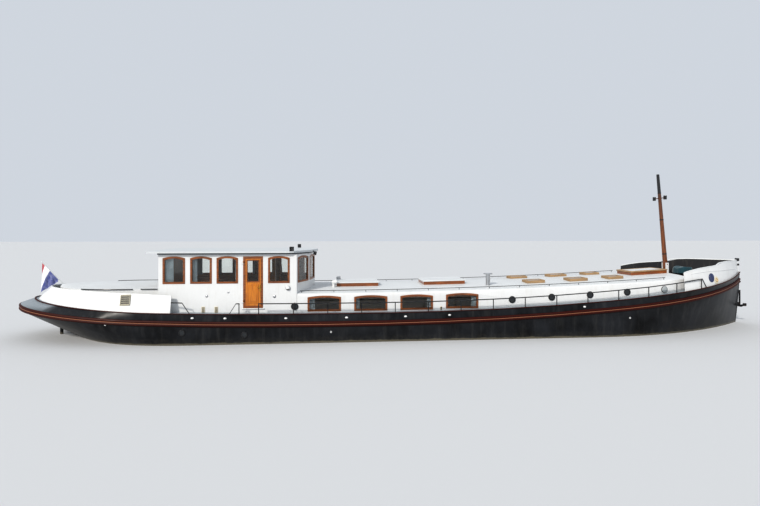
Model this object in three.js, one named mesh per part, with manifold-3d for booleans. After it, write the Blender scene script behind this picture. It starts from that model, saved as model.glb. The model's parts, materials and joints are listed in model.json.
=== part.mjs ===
// A motor barge converted to a houseboat: flat-bottomed steel hull with a round counter stern and a plumb
// stem, a long coachroof over the saloon, a wheelhouse aft, an aft cabin behind it and a lowering mast.
// Millimetres. +X points to the bow, +Y to port, +Z up. Z = 0 is the flat bottom amidships.
import * as THREE from 'three';
import { mergeVertices } from 'three/addons/utils/BufferGeometryUtils.js';
import Module from 'manifold-3d';

const wasm = await Module();
wasm.setup();

// Driving dimensions
const DRAUGHT = 1100;
const SEAT_GAP = 0.3;
const STEM_HALF = 25;
const RUB_HALF_HEIGHT = 100;
const DECK_LOW_X = -1500;
const RUB_LOW_X = -2000;
const CABIN_HALF = 2000;
const PLATE = 50;
const WHEELHOUSE = { aft: -8610, corner: -4010, front: -3460, knuckle: -3630, knuckleHalf: 1000, top: 4080 };
const DOOR = { aft: -5820, fore: -5150, bottom: 2240, top: 4010, thickness: 45 };
const COACHROOF = { aft: -4000 + SEAT_GAP, fore: 10650, wall: 60 };
const AFT_CABIN = { fore: -8610 - SEAT_GAP, aft: -12650, half: 1700, top: 2960, wall: 60 };
const SHAFT_Z = 470;
const PROPELLER = { x: -12020, radius: 350, hub: 70, blades: 4 };
const RUDDER = { x: -12690, stock: 55, fore: -12450, aft: -13450, bottom: 130, top: 1000 };
const SHOE_TOP = 90;
const HELM = { x: -4750, z: 3200, radius: 380 };
const MAST = { x: 10840, pivotZ: 3520, footZ: 3330, topZ: 7190, footRadius: 90, topRadius: 55, rakeDeg: 5 };
const ANCHOR_REACH = 14240;
const STERN_REACH = 13980;

// Heights of the deck edge, the rub rail, the roof edge and the bulwark caps along the boat
const deckHeight = (x) => {
  const fore = Math.max(x - DECK_LOW_X, 0) / 15620;
  const aft = Math.max(DECK_LOW_X - x, 0) / 12070;
  return DRAUGHT + 970 + 1098 * fore ** 2.15 + 420 * aft ** 3;
};
const rubHeight = (x) => {
  const fore = Math.max(x - RUB_LOW_X, 0) / 16100;
  const aft = Math.max(RUB_LOW_X - x, 0) / 12150;
  return DRAUGHT + 630 + 1105 * fore ** 2.1 + 535 * aft ** 2.6;
};
const roofEdgeHeight = (x) => DRAUGHT + 1620 + 400 * (Math.max(x + 4000, 0) / 14600) ** 2.2;
const aftCapHeight = (x) => DRAUGHT + 1600 + 190 * (Math.max(-8130 - x, 0) / 4870) ** 0.8;
const BOW_CAP = [
  [10100, 2220], [10450, 2300], [10900, 2370], [11450, 2420], [11800, 2440], [11980, 2470],
  [12080, 2545], [12640, 2580], [14100, 2565],
];
const interpolate = (table, x) => {
  for (let i = 1; i < table.length; i += 1) {
    const [x0, v0] = table[i - 1];
    const [x1, v1] = table[i];
    if (x <= x1) return v0 + ((v1 - v0) * Math.max(x - x0, 0)) / (x1 - x0);
  }
  return table[table.length - 1][1];
};
const bowCapHeight = (x) => DRAUGHT + interpolate(BOW_CAP, x);

// Plan curves. Each level of the skin is straight amidships and closes towards both ends.
// Columns: half breadth, then forward start, end and power, then aft start, end, power and fullness.
const LEVELS = {
  flat: { half: 2050, fore: [5500, 13100, 1.7], aft: [-5500, -9400, 2, 0.8], z: () => 0 },
  bilge: { half: 2330, fore: [6000, 13450, 1.8], aft: [-6000, -10000, 2.2, 0.9], z: (x, t) => 90 + 150 * t },
  turn: { half: 2450, fore: [6300, 13750, 1.95], aft: [-6500, -10900, 2.6, 1], z: (x, t) => 420 + 180 * t },
  water: { half: 2450, fore: [6500, 13930, 2.1], aft: [-7000, -12200, 3, 1], z: () => DRAUGHT },
  topside: {
    half: 2450, fore: [6750, 14030, 2.4], aft: [-8000, -13200, 2.4, 0.9],
    z: (x) => (DRAUGHT + rubHeight(x) - RUB_HALF_HEIGHT) / 2,
  },
  rubLow: {
    half: 2450, fore: [7000, 14100, 2.7], aft: [-9000, -13920, 2, 0.5],
    z: (x) => rubHeight(x) - RUB_HALF_HEIGHT,
  },
  rubTop: {
    half: 2450, fore: [7000, 14100, 2.7], aft: [-9000, -13920, 2, 0.5],
    z: (x) => rubHeight(x) + RUB_HALF_HEIGHT,
  },
  deck: { half: 2420, fore: [7000, 14120, 3.1], aft: [-8500, -13510, 2, 0.6], z: deckHeight },
};
const AFT_RINGS = 14;
const MIDDLE_RINGS = 8;
const FORE_RINGS = 14;

// A station runs from -1 at the stern tip through 0 .. 1 amidships to 2 at the stem.
const STATIONS = [
  ...Array.from({ length: AFT_RINGS }, (_, i) => -1 + i / AFT_RINGS),
  ...Array.from({ length: MIDDLE_RINGS }, (_, i) => i / MIDDLE_RINGS),
  ...Array.from({ length: FORE_RINGS + 1 }, (_, i) => 1 + i / FORE_RINGS),
];
function levelPoint(level, station) {
  const [foreStart, foreEnd, forePower] = level.fore;
  const [aftStart, aftEnd, aftPower, fullness] = level.aft;
  let x = aftStart + (foreStart - aftStart) * station;
  let y = level.half;
  let t = 0;
  if (station < 0) {
    t = Math.sin((-station * Math.PI) / 2);
    x = aftStart + (aftEnd - aftStart) * t;
    y = level.half * (1 - t ** aftPower) ** fullness;
  }
  if (station > 1) {
    const s = Math.sin(((station - 1) * Math.PI) / 2);
    x = foreStart + (foreEnd - foreStart) * s;
    y = level.half * (1 - s ** forePower);
  }
  return new THREE.Vector3(x, Math.max(y, STEM_HALF), level.z(x, t));
}
// Half breadth of a level at a place along the boat
function halfBreadth(level, x) {
  const [foreStart, foreEnd, forePower] = level.fore;
  const [aftStart, aftEnd, aftPower, fullness] = level.aft;
  const s = THREE.MathUtils.clamp((x - foreStart) / (foreEnd - foreStart), 0, 1);
  const t = THREE.MathUtils.clamp((x - aftStart) / (aftEnd - aftStart), 0, 1);
  return level.half * (1 - s ** forePower) * (1 - t ** aftPower) ** fullness;
}

// Solid and mesh helpers
function solidOf(geometry) {
  const bare = geometry.clone();
  bare.deleteAttribute('normal');
  bare.deleteAttribute('uv');
  const merged = mergeVertices(bare, 1e-3);
  const vertProperties = new Float32Array(merged.attributes.position.array);
  const triVerts = new Uint32Array(merged.index.array);
  return new wasm.Manifold(new wasm.Mesh({ numProp: 3, vertProperties, triVerts }));
}
function geometryOf(solid) {
  const mesh = solid.getMesh();
  const geometry = new THREE.BufferGeometry();
  geometry.setAttribute('position', new THREE.BufferAttribute(new Float32Array(mesh.vertProperties), 3));
  geometry.setIndex(new THREE.BufferAttribute(new Uint32Array(mesh.triVerts), 1));
  geometry.computeVertexNormals();
  return geometry;
}
const join = (...solids) => solids.flat().reduce((sum, solid) => sum.add(solid));
const cut = (body, ...tools) => tools.flat().reduce((rest, tool) => rest.subtract(tool), body);
const mirrorY = (solid) => solid.scale([1, -1, 1]);

function box(x0, x1, y0, y1, z0, z1) {
  const geometry = new THREE.BoxGeometry(x1 - x0, y1 - y0, z1 - z0);
  geometry.translate((x0 + x1) / 2, (y0 + y1) / 2, (z0 + z1) / 2);
  return solidOf(geometry);
}
const ARC_SEGMENTS = 4;
// A flat outline pushed out along one axis. The outline's two numbers are the other two axes in order.
function prism(axis, outline, from, to) {
  const drawn = outline instanceof THREE.Shape;
  const shape = drawn ? outline : new THREE.Shape(outline.map((p) => new THREE.Vector2(...p)));
  const options = { depth: to - from, bevelEnabled: false, curveSegments: ARC_SEGMENTS };
  const geometry = new THREE.ExtrudeGeometry(shape, options);
  if (axis === 'z') geometry.translate(0, 0, from);
  if (axis === 'y') geometry.rotateX(Math.PI / 2).translate(0, to, 0);
  if (axis === 'x') {
    const turn = new THREE.Matrix4().makeBasis(
      new THREE.Vector3(0, 1, 0),
      new THREE.Vector3(0, 0, 1),
      new THREE.Vector3(1, 0, 0),
    );
    geometry.applyMatrix4(turn).translate(from, 0, 0);
  }
  return solidOf(geometry);
}
// A round bar between two points, tapering if a second radius is given
function bar(a, b, radius, endRadius = radius, sides = 12) {
  const start = new THREE.Vector3(...a);
  const end = new THREE.Vector3(...b);
  const geometry = new THREE.CylinderGeometry(endRadius, radius, start.distanceTo(end), sides);
  const along = end.clone().sub(start).normalize();
  geometry.applyQuaternion(new THREE.Quaternion().setFromUnitVectors(new THREE.Vector3(0, 1, 0), along));
  const middle = start.add(end).multiplyScalar(0.5);
  geometry.translate(middle.x, middle.y, middle.z);
  return solidOf(geometry);
}
function ball(centre, radius) {
  const geometry = new THREE.SphereGeometry(radius, 12, 8);
  geometry.rotateX(Math.PI / 2).translate(...centre);
  return solidOf(geometry);
}
// A skin through rings of equal count, closed at both ends by the given triangles
function loft(rings, capTriangles) {
  const count = rings[0].length;
  const positions = rings.flat().flatMap((p) => [p.x, p.y, p.z]);
  const index = [];
  for (let r = 0; r + 1 < rings.length; r += 1) {
    for (let i = 0; i < count; i += 1) {
      const a = r * count + i;
      const b = r * count + ((i + 1) % count);
      index.push(a, b, b + count, a, b + count, a + count);
    }
  }
  const last = (rings.length - 1) * count;
  for (const [a, b, c] of capTriangles) {
    index.push(a, c, b);
    index.push(last + a, last + b, last + c);
  }
  const geometry = new THREE.BufferGeometry();
  geometry.setAttribute('position', new THREE.Float32BufferAttribute(positions, 3));
  let volume = 0;
  const corner = [0, 1, 2].map(() => new THREE.Vector3());
  for (let k = 0; k < index.length; k += 3) {
    corner.forEach((v, j) => v.fromArray(positions, index[k + j] * 3));
    volume += corner[0].dot(corner[1].cross(corner[2]));
  }
  if (volume < 0) index.reverse();
  geometry.setIndex(index);
  return solidOf(geometry);
}
// Cap triangles of a ring whose point i faces point count - 1 - i, and of a flat profile
function ladderCap(count) {
  const triangles = [];
  for (let i = 0; i + 1 < count / 2; i += 1) {
    triangles.push([i, i + 1, count - 2 - i], [i, count - 2 - i, count - 1 - i]);
  }
  return triangles;
}
const profileCap = (profile) => (
  THREE.ShapeUtils.triangulateShape(profile.map((p) => new THREE.Vector2(...p)), [])
);

// Outward directions in plan along an open line of points, stretched at bends so that offsets stay parallel
function planNormals(points) {
  return points.map((point, i) => {
    const before = points[Math.max(i - 1, 0)];
    const after = points[Math.min(i + 1, points.length - 1)];
    const edge = (a, b) => new THREE.Vector2(b.y - a.y, a.x - b.x).normalize();
    const first = i > 0 ? edge(before, point) : edge(point, after);
    const second = i < points.length - 1 ? edge(point, after) : first;
    const middle = first.clone().add(second).normalize();
    return middle.divideScalar(middle.dot(second));
  });
}
// The line of a level from the stem down the starboard side, round the stern and back along the port side
function roundTheBoat(level, from = -1, to = 2) {
  const stations = STATIONS.filter((s) => s >= from && s <= to);
  const port = stations.map((s) => levelPoint(level, s));
  const starboard = port.map((p) => new THREE.Vector3(p.x, -p.y, p.z)).reverse();
  return [...starboard, ...port];
}
// A moulding: a profile of [out, up] points carried along a line of points
function moulding(line, profile) {
  const normals = planNormals(line);
  const rings = line.map((p, i) => profile.map(([out, up]) => (
    new THREE.Vector3(p.x - normals[i].x * out, p.y - normals[i].y * out, p.z + up)
  )));
  return loft(rings, profileCap(profile));
}
// A plate standing on a foot line and reaching a cap line, with its thickness inside
function standingPlate(foot, cap, thickness) {
  const footNormals = planNormals(foot);
  const capNormals = planNormals(cap);
  const inside = (p, n) => new THREE.Vector3(p.x + n.x * thickness, p.y + n.y * thickness, p.z);
  const rings = foot.map((p, i) => [p, cap[i], inside(cap[i], capNormals[i]), inside(p, footNormals[i])]);
  return loft(rings, ladderCap(4));
}

// Finish of each material
const PAINT = {
  hull: { color: 0x15171c, roughness: 0.45, metalness: 0.1 },
  red: { color: 0x7a2415, roughness: 0.45, metalness: 0.1 },
  white: { color: 0xeceef0, roughness: 0.4, metalness: 0.0 },
  roof: { color: 0xdfe6ec, roughness: 0.5, metalness: 0.0 },
  wood: { color: 0xa85a1c, roughness: 0.35, metalness: 0.0 },
  rail: { color: 0x3a3f45, roughness: 0.5, metalness: 0.4 },
  glass: { color: 0x51626b, roughness: 0.08, metalness: 0.0 },
  steel: { color: 0x2b2d30, roughness: 0.6, metalness: 0.5 },
  bronze: { color: 0x9a6b32, roughness: 0.35, metalness: 0.9 },
  cloth: { color: 0xd9dbe2, roughness: 0.9, metalness: 0.0 },
  teal: { color: 0x2f6470, roughness: 0.9, metalness: 0.0 },
};
const boat = new THREE.Group();
boat.position.x = (STERN_REACH - ANCHOR_REACH) / 2;
function addPiece(name, solid, paint) {
  const mesh = new THREE.Mesh(geometryOf(solid), new THREE.MeshStandardMaterial(PAINT[paint]));
  mesh.name = name;
  boat.add(mesh);
}

// Hull: skin through all levels, with the aft cabin well, the engine room and the saloon let into it
const hullRings = STATIONS.map((station) => {
  const port = Object.values(LEVELS).map((level) => levelPoint(level, station));
  const starboard = port.map((p) => new THREE.Vector3(p.x, -p.y, p.z)).reverse();
  return [...port, ...starboard];
});
const SKIN_TOP = 4200;
const hullSkin = loft(hullRings, ladderCap(hullRings[0].length));
const SALOON_OUTLINE = [
  [-3500, -1900], [7500, -1900], [9600, -1450], [9600, 1450], [7500, 1900], [-3500, 1900],
];
const saloonWell = prism('z', SALOON_OUTLINE, 300, SKIN_TOP);
const engineWell = box(-8300, -4400, -1500, 1500, 350, SKIN_TOP);
const aftCabinWell = box(-11000, -8900, -1200, 1200, 1300, SKIN_TOP);
// The run ends in a post that carries the stern tube, with a shoe below the propeller and the rudder
const SKEG_HALF = 70;
const SKEG_OUTLINE = [
  [-13000, 0], [-8900, 0], [-8900, 300], [-10500, 700],
  [-11720, 1020], [-11720, SHOE_TOP], [-13000, SHOE_TOP],
];
const skeg = prism('y', SKEG_OUTLINE, -SKEG_HALF, SKEG_HALF);
const sternTube = bar([-11200, 0, SHAFT_Z], [-11900, 0, SHAFT_Z], 120, 100, 24);
const SHAFT_RADIUS = 40;
const shaftBore = bar([-11300, 0, SHAFT_Z], [-11950, 0, SHAFT_Z], SHAFT_RADIUS + 1, SHAFT_RADIUS + 1, 32);
const stockBore = bar([RUDDER.x, 0, 1150], [RUDDER.x, 0, 1720], RUDDER.stock + 1, RUDDER.stock + 1, 32);
const PINTLE_RADIUS = 30;
const pintleBore = bar([RUDDER.x, 0, 30], [RUDDER.x, 0, 200], PINTLE_RADIUS + 1, PINTLE_RADIUS + 1, 32);
const hull = cut(
  join(hullSkin, skeg, sternTube),
  saloonWell, engineWell, aftCabinWell, shaftBore, stockBore, pintleBore,
);
const hullSeat = hullSkin.translate([0, 0, SEAT_GAP]);
addPiece('hull', hull, 'hull');

// Rub rails: two half-round mouldings with a flat between them, round the whole boat
const RUB_PROFILE = [
  [SEAT_GAP, -95], [40, -85], [58, -48], [30, -10], [30, 10], [54, 48], [38, 85], [SEAT_GAP, 95],
];
const rubLine = roundTheBoat(LEVELS.rubLow).map((p) => p.setZ(p.z + RUB_HALF_HEIGHT));
addPiece('rub_rails', moulding(rubLine, RUB_PROFILE), 'red');

// Deck edge moulding: a small half-round on top of the black strake
const EDGE_PROFILE = [[-12, SEAT_GAP], [28, SEAT_GAP], [20, 26], [-12, 22]];
const edgeMoulding = cut(moulding(roundTheBoat(LEVELS.deck), EDGE_PROFILE), hullSeat);
addPiece('deck_edge_moulding', edgeMoulding, 'red');

// Bulwarks: white plates leaning inwards round the stern and the bow
const AFT_BULWARK = { foot: { ...LEVELS.deck, half: 2360, aft: [-8130, -13460, 2, 0.6] } };
AFT_BULWARK.cap = { ...LEVELS.deck, half: 2200, aft: [-8130, -13000, 2, 0.6], z: aftCapHeight };
const bulwarkFoot = roundTheBoat(AFT_BULWARK.foot, -1, 0).map((p) => p.setZ(p.z - 60));
const bulwarkCap = roundTheBoat(AFT_BULWARK.cap, -1, 0);
const aftBulwark = standingPlate(bulwarkFoot, bulwarkCap, PLATE);
addPiece('aft_bulwark', cut(aftBulwark, hullSeat), 'white');

const BOW_START = 10150;
function bowLine(half, end, power, height) {
  const count = 16;
  const first = (BOW_START - 7000) / (end - 7000);
  const port = Array.from({ length: count + 1 }, (_, i) => {
    const t = first + (1 - first) * Math.sin((i / count) * (Math.PI / 2));
    const x = 7000 + t * (end - 7000);
    return new THREE.Vector3(x, Math.max(half * (1 - t ** power), STEM_HALF), height(x));
  });
  const starboard = port.map((p) => new THREE.Vector3(p.x, -p.y, p.z));
  return [...port, ...starboard.reverse()];
}
const bowFoot = bowLine(2355, 14070, 3.1, (x) => deckHeight(x) - 60);
const bowCap = bowLine(2310, 14015, 2.9, bowCapHeight);
addPiece('bow_bulwark', cut(standingPlate(bowFoot, bowCap, 40), hullSeat), 'white');

// Coachroof over the saloon: cambered roof on straight sides, hollow and open below
const ROOF_CAMBER = 90;
const coachHalf = (x) => CABIN_HALF - 250 * (Math.max(x - 8500, 0) / 2150) ** 2;
const COACH_STATIONS = [-4000, -2000, 0, 2000, 4000, 6000, 8500, 9200, 9900, 10650];
function coachShell(inset, foot, aft, fore) {
  const rings = COACH_STATIONS.map((station, i) => {
    let x = station;
    if (i === 0) x = aft;
    if (i === COACH_STATIONS.length - 1) x = fore;
    const y = coachHalf(x) - inset;
    const edge = roofEdgeHeight(x) - inset;
    const half = [
      [y, deckHeight(x) - foot], [y, edge - 70], [y - 20, edge - 20], [y - 75, edge + 8],
      [y * 0.6, edge + ROOF_CAMBER * 0.64], [y * 0.2, edge + ROOF_CAMBER * 0.96],
    ];
    const port = half.map(([py, pz]) => new THREE.Vector3(x, py, pz));
    return [...port, ...port.map((p) => new THREE.Vector3(x, -p.y, p.z)).reverse()];
  });
  return loft(rings, ladderCap(12));
}
const coachOuter = coachShell(0, 60, COACHROOF.aft, COACHROOF.fore);
const coachInner = coachShell(COACHROOF.wall, 200, COACHROOF.aft - 500, COACHROOF.fore - COACHROOF.wall);
const coachSeat = coachOuter.translate([-SEAT_GAP, 0, SEAT_GAP]);

// Hatches on the coachroof. Columns: name, aft end, fore end, half width, coaming height
const HATCHES = [
  ['saloon_hatch_aft', -2620, -1060, 600, 110],
  ['saloon_hatch_fore', 680, 2270, 600, 110],
  ['fore_hatch', 9060, 10560, 500, 110],
];
const HATCH_RIM = 45;
const LID_THICKNESS = 45;
const LID_OVERHANG = 25;
const hatchSlope = (aft, fore) => Math.atan2(roofEdgeHeight(fore) - roofEdgeHeight(aft), fore - aft);
const hatchBase = (x) => roofEdgeHeight(x) + ROOF_CAMBER;
// Turns a solid that was made level to lie along the roof at a hatch
function alongRoof(solid, aft, fore) {
  const middle = (aft + fore) / 2;
  const slopeDeg = THREE.MathUtils.radToDeg(hatchSlope(aft, fore));
  return solid.translate([-middle, 0, 0]).rotate([0, -slopeDeg, 0]).translate([middle, 0, hatchBase(middle)]);
}
// Flat skylights, in pairs either side of the centre line. Columns: aft end, fore end
const SKYLIGHTS = [[4550, 5200], [6220, 6890], [7760, 8315]];
const SKYLIGHT_Y = [620, 1140];
const SKYLIGHT_UP = 60;
const skylightFrames = SKYLIGHTS.flatMap(([aft, fore]) => [-1, 1].map((side) => {
  const [y0, y1] = side > 0 ? SKYLIGHT_Y : [-SKYLIGHT_Y[1], -SKYLIGHT_Y[0]];
  return alongRoof(box(aft, fore, y0, y1, -70, SKYLIGHT_UP), aft, fore);
}));

// A window opening with a shallow arch over it, as an outline in the plane of its wall
function archOutline(left, right, bottom, top, rise, inset = 0) {
  const [x0, x1, z0] = [left + inset, right - inset, bottom + inset];
  const shoulder = top - rise - inset;
  const width = x1 - x0;
  const radius = (width * width) / (8 * rise) + rise / 2;
  const half = Math.asin(width / 2 / radius);
  const shape = new THREE.Shape();
  shape.moveTo(x0, z0);
  shape.lineTo(x1, z0);
  shape.lineTo(x1, shoulder);
  const centreZ = shoulder + rise - radius;
  shape.absarc((x0 + x1) / 2, centreZ, radius, Math.PI / 2 - half, Math.PI / 2 + half, false);
  return shape;
}
// A window unit in a side wall: a timber frame in the opening around a recessed pane
const FRAME_PROUD = 12;
const FRAME_WIDTH = 65;
const PANE_HALF = 5;
function windowUnit(axis, outline, outer, wall) {
  const inner = outer - wall;
  const block = prism(axis, outline(0.5), inner - 4, outer + FRAME_PROUD);
  const middle = outer - wall / 2;
  return cut(
    block,
    prism(axis, outline(FRAME_WIDTH), middle + PANE_HALF, outer + 100),
    prism(axis, outline(FRAME_WIDTH), inner - 100, middle - PANE_HALF),
  );
}
const opening = (axis, outline, outer, wall) => prism(axis, outline(0), outer - wall - 60, outer + 60);

// Saloon windows. Columns: aft end, fore end
const SALOON_WINDOWS = [[-3640, -2490], [-2030, -870], [-410, 750], [1220, 2390]];
const saloonOutline = ([aft, fore]) => (inset) => {
  const sill = deckHeight((aft + fore) / 2) + 25;
  return archOutline(aft, fore, sill, sill + 540, 50, inset);
};
// Lining battens on the inside of a wall tie the units of one wall together
const LINING = 12;
const saloonUnits = SALOON_WINDOWS.map((row) => (
  windowUnit('y', saloonOutline(row), CABIN_HALF, COACHROOF.wall)
));
const saloonWallInner = CABIN_HALF - COACHROOF.wall;
const saloonBatten = box(-3700, 2450, saloonWallInner - 4 - LINING, saloonWallInner - 1, 2545, 2580);
const saloonWindowsPort = join(saloonUnits, saloonBatten);
const saloonHoles = SALOON_WINDOWS.map((row) => opening('y', saloonOutline(row), CABIN_HALF, COACHROOF.wall));
const hatchHoles = HATCHES.map(([, aft, fore, half]) => (
  alongRoof(box(aft + HATCH_RIM, fore - HATCH_RIM, HATCH_RIM - half, half - HATCH_RIM, -300, 300), aft, fore)
));
const coachroof = cut(
  join(cut(coachOuter, coachInner), skylightFrames),
  hullSeat, saloonHoles, saloonHoles.map(mirrorY), hatchHoles,
);
// The coachroof is made in plates that meet at the hatches: two sides, a front and three panels on the
// centre line. Columns: name, aft end, fore end, starboard edge, port edge
const PANEL_HALF = HATCHES[0][3] - HATCH_RIM;
const ROOF_SPLIT = { middleAft: -1840, middleFore: 1475, front: 8800 };
const COACHROOF_PARTS = [
  ['coachroof_starboard', -4500, ROOF_SPLIT.front, -2500, -PANEL_HALF],
  ['coachroof_port', -4500, ROOF_SPLIT.front, PANEL_HALF, 2500],
  ['coachroof_front', ROOF_SPLIT.front, 11000, -2500, 2500],
  ['roof_panel_aft', -4500, ROOF_SPLIT.middleAft, -PANEL_HALF, PANEL_HALF],
  ['roof_panel_middle', ROOF_SPLIT.middleAft, ROOF_SPLIT.middleFore, -PANEL_HALF, PANEL_HALF],
  ['roof_panel_fore', ROOF_SPLIT.middleFore, ROOF_SPLIT.front, -PANEL_HALF, PANEL_HALF],
];
const HALF_GAP = SEAT_GAP / 2;
for (const [name, aft, fore, starboard, port] of COACHROOF_PARTS) {
  const room = box(aft + HALF_GAP, fore - HALF_GAP, starboard + HALF_GAP, port - HALF_GAP, 1500, 4200);
  addPiece(name, coachroof.intersect(room), 'white');
}
addPiece('saloon_windows_port', saloonWindowsPort, 'wood');
addPiece('saloon_windows_starboard', mirrorY(saloonWindowsPort), 'wood');

const roofSeat = join(coachOuter, skylightFrames).translate([0, 0, SEAT_GAP]);
for (const [name, aft, fore, half, height] of HATCHES) {
  const frame = cut(
    box(aft, fore, -half, half, -80, height),
    box(aft + HATCH_RIM, fore - HATCH_RIM, HATCH_RIM - half, half - HATCH_RIM, -200, 300),
  );
  const reach = half + LID_OVERHANG;
  const lidBottom = height + SEAT_GAP;
  const lidTop = lidBottom + LID_THICKNESS;
  const lid = box(aft - LID_OVERHANG, fore + LID_OVERHANG, -reach, reach, lidBottom, lidTop);
  addPiece(`${name}_coaming`, cut(alongRoof(frame, aft, fore), roofSeat), 'wood');
  addPiece(`${name}_lid`, alongRoof(lid, aft, fore), 'white');
}

// Wheelhouse: walls with a front in four facets, standing on the side deck and on the coachroof
const wallOutline = (inset) => {
  const { aft, corner, front, knuckle, knuckleHalf } = WHEELHOUSE;
  const half = CABIN_HALF - inset;
  return [
    [aft + inset, -half], [corner - inset * 0.8, -half], [knuckle - inset, -knuckleHalf + inset * 0.2],
    [front - inset, 0], [knuckle - inset, knuckleHalf - inset * 0.2], [corner - inset * 0.8, half],
    [aft + inset, half],
  ];
};
const wallRing = cut(
  prism('z', wallOutline(0), 1950, WHEELHOUSE.top),
  prism('z', wallOutline(PLATE), 1800, WHEELHOUSE.top + 100),
);
// Side windows: aft end and fore end of each
const SIDE_WINDOWS = [[-8470, -7740], [-7570, -6860], [-6700, -5990], [-4980, -4250]];
const WINDOW_SILL = 3090;
const WINDOW_HEAD = 4015;
const WINDOW_ARCH = 60;
const BATTEN_BOTTOM = WINDOW_HEAD - 10;
const BATTEN_TOP = WINDOW_HEAD + 40;
const tallArch = (left, right, inset) => {
  return archOutline(left, right, WINDOW_SILL, WINDOW_HEAD, WINDOW_ARCH, inset);
};
const sideOutline = ([aft, fore]) => (inset) => tallArch(aft, fore, inset);
const sideUnits = SIDE_WINDOWS.map((row) => windowUnit('y', sideOutline(row), CABIN_HALF, PLATE));
const sideHoles = SIDE_WINDOWS.map((row) => opening('y', sideOutline(row), CABIN_HALF, PLATE));
// Battens run aft of the door and forward of it, joined over the door's head
const battenInner = CABIN_HALF - PLATE - 4 - LINING;
const sideBatten = box(-8520, -4200, battenInner, CABIN_HALF - PLATE - 1, BATTEN_BOTTOM, BATTEN_TOP);
const sideWindowsPort = join(sideUnits, sideBatten);
const doorHole = prism('y', [
  [DOOR.aft, DOOR.bottom], [DOOR.fore, DOOR.bottom], [DOOR.fore, DOOR.top], [DOOR.aft, DOOR.top],
], CABIN_HALF - 200, CABIN_HALF + 60);

// Windows of the front facets and the aft wall are made in a flat plane and turned into place
const AFT_WINDOWS = [[-1350, -550], [550, 1350]];
const aftOutline = ([left, right]) => (inset) => tallArch(left, right, inset);
const aftWall = (row, make) => make('x', aftOutline(row), -WHEELHOUSE.aft, PLATE).scale([-1, 1, 1]);
const aftInner = WHEELHOUSE.aft + PLATE;
const aftBatten = box(aftInner + 1, aftInner + 4 + LINING, -1400, 1400, BATTEN_BOTTOM, BATTEN_TOP);
const aftWindows = join(AFT_WINDOWS.map((row) => aftWall(row, windowUnit)), aftBatten);
const aftHoles = AFT_WINDOWS.map((row) => aftWall(row, opening));

const FACETS = [
  [[WHEELHOUSE.corner, CABIN_HALF], [WHEELHOUSE.knuckle, WHEELHOUSE.knuckleHalf]],
  [[WHEELHOUSE.knuckle, WHEELHOUSE.knuckleHalf], [WHEELHOUSE.front, 0]],
];
const FACET_POST = 85;
function facetWindow([outer, inner], make) {
  const width = Math.hypot(inner[0] - outer[0], inner[1] - outer[1]);
  const outline = (inset) => tallArch(FACET_POST - width / 2, width / 2 - FACET_POST, inset);
  const yawDeg = THREE.MathUtils.radToDeg(Math.atan2(inner[0] - outer[0], outer[1] - inner[1]));
  const middle = [(outer[0] + inner[0]) / 2, (outer[1] + inner[1]) / 2, 0];
  return make('x', outline, 0, PLATE).rotate([0, 0, yawDeg]).translate(middle);
}
const facetUnits = FACETS.map((facet) => facetWindow(facet, windowUnit));
const facetHoles = FACETS.map((facet) => facetWindow(facet, opening));
// A lining along the head of the facets ties the four front windows together
const liningRing = cut(
  prism('z', wallOutline(PLATE + 1), BATTEN_BOTTOM, BATTEN_TOP),
  prism('z', wallOutline(PLATE + 4 + LINING), 3900, 4100),
  box(-9000, -4150, -2500, 2500, 3900, 4100),
);
const frontWindows = join(facetUnits, facetUnits.map(mirrorY), liningRing);
// The bulkhead under the front windows has a companionway down to the saloon
const bulkhead = cut(
  box(-4060, -4004, -CABIN_HALF + PLATE - 1, CABIN_HALF - PLATE + 1, 1950, 2860),
  box(-4200, -3900, 600, 1300, 2150, 3000),
);
// Door hinges: the lower half of each stands on the wall and carries the barrel of the leaf
const HINGE = { x: DOOR.aft + 6, y: CABIN_HALF + 12, radius: 11, places: [2450, 3780], length: 60, lug: 30 };
const hingeLugs = HINGE.places.flatMap((z) => [
  bar([HINGE.x, HINGE.y, z - HINGE.lug], [HINGE.x, HINGE.y, z - SEAT_GAP], HINGE.radius),
  box(HINGE.x - 66, HINGE.x, CABIN_HALF + 1, CABIN_HALF + 23, z - HINGE.lug, z - SEAT_GAP),
  box(HINGE.x - 66, DOOR.aft - 2, CABIN_HALF - 10, CABIN_HALF + 5, z - HINGE.lug, z - SEAT_GAP),
]);
const wheelhouseWalls = cut(
  join(cut(wallRing, coachSeat), cut(bulkhead, coachSeat)),
  hullSeat, sideHoles, sideHoles.map(mirrorY), doorHole, mirrorY(doorHole),
  aftHoles, facetHoles, facetHoles.map(mirrorY),
);
addPiece('wheelhouse_walls', join(wheelhouseWalls, hingeLugs, hingeLugs.map(mirrorY)), 'white');
addPiece('wheelhouse_windows_port', sideWindowsPort, 'wood');
addPiece('wheelhouse_windows_starboard', mirrorY(sideWindowsPort), 'wood');
addPiece('wheelhouse_windows_front', frontWindows, 'wood');
addPiece('wheelhouse_windows_aft', aftWindows, 'wood');

const SOLE_TOP = 2205;
const sole = cut(box(-8555, -4065, -1945, 1945, 2000, SOLE_TOP), hullSeat);
addPiece('wheelhouse_sole', sole, 'wood');

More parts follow.
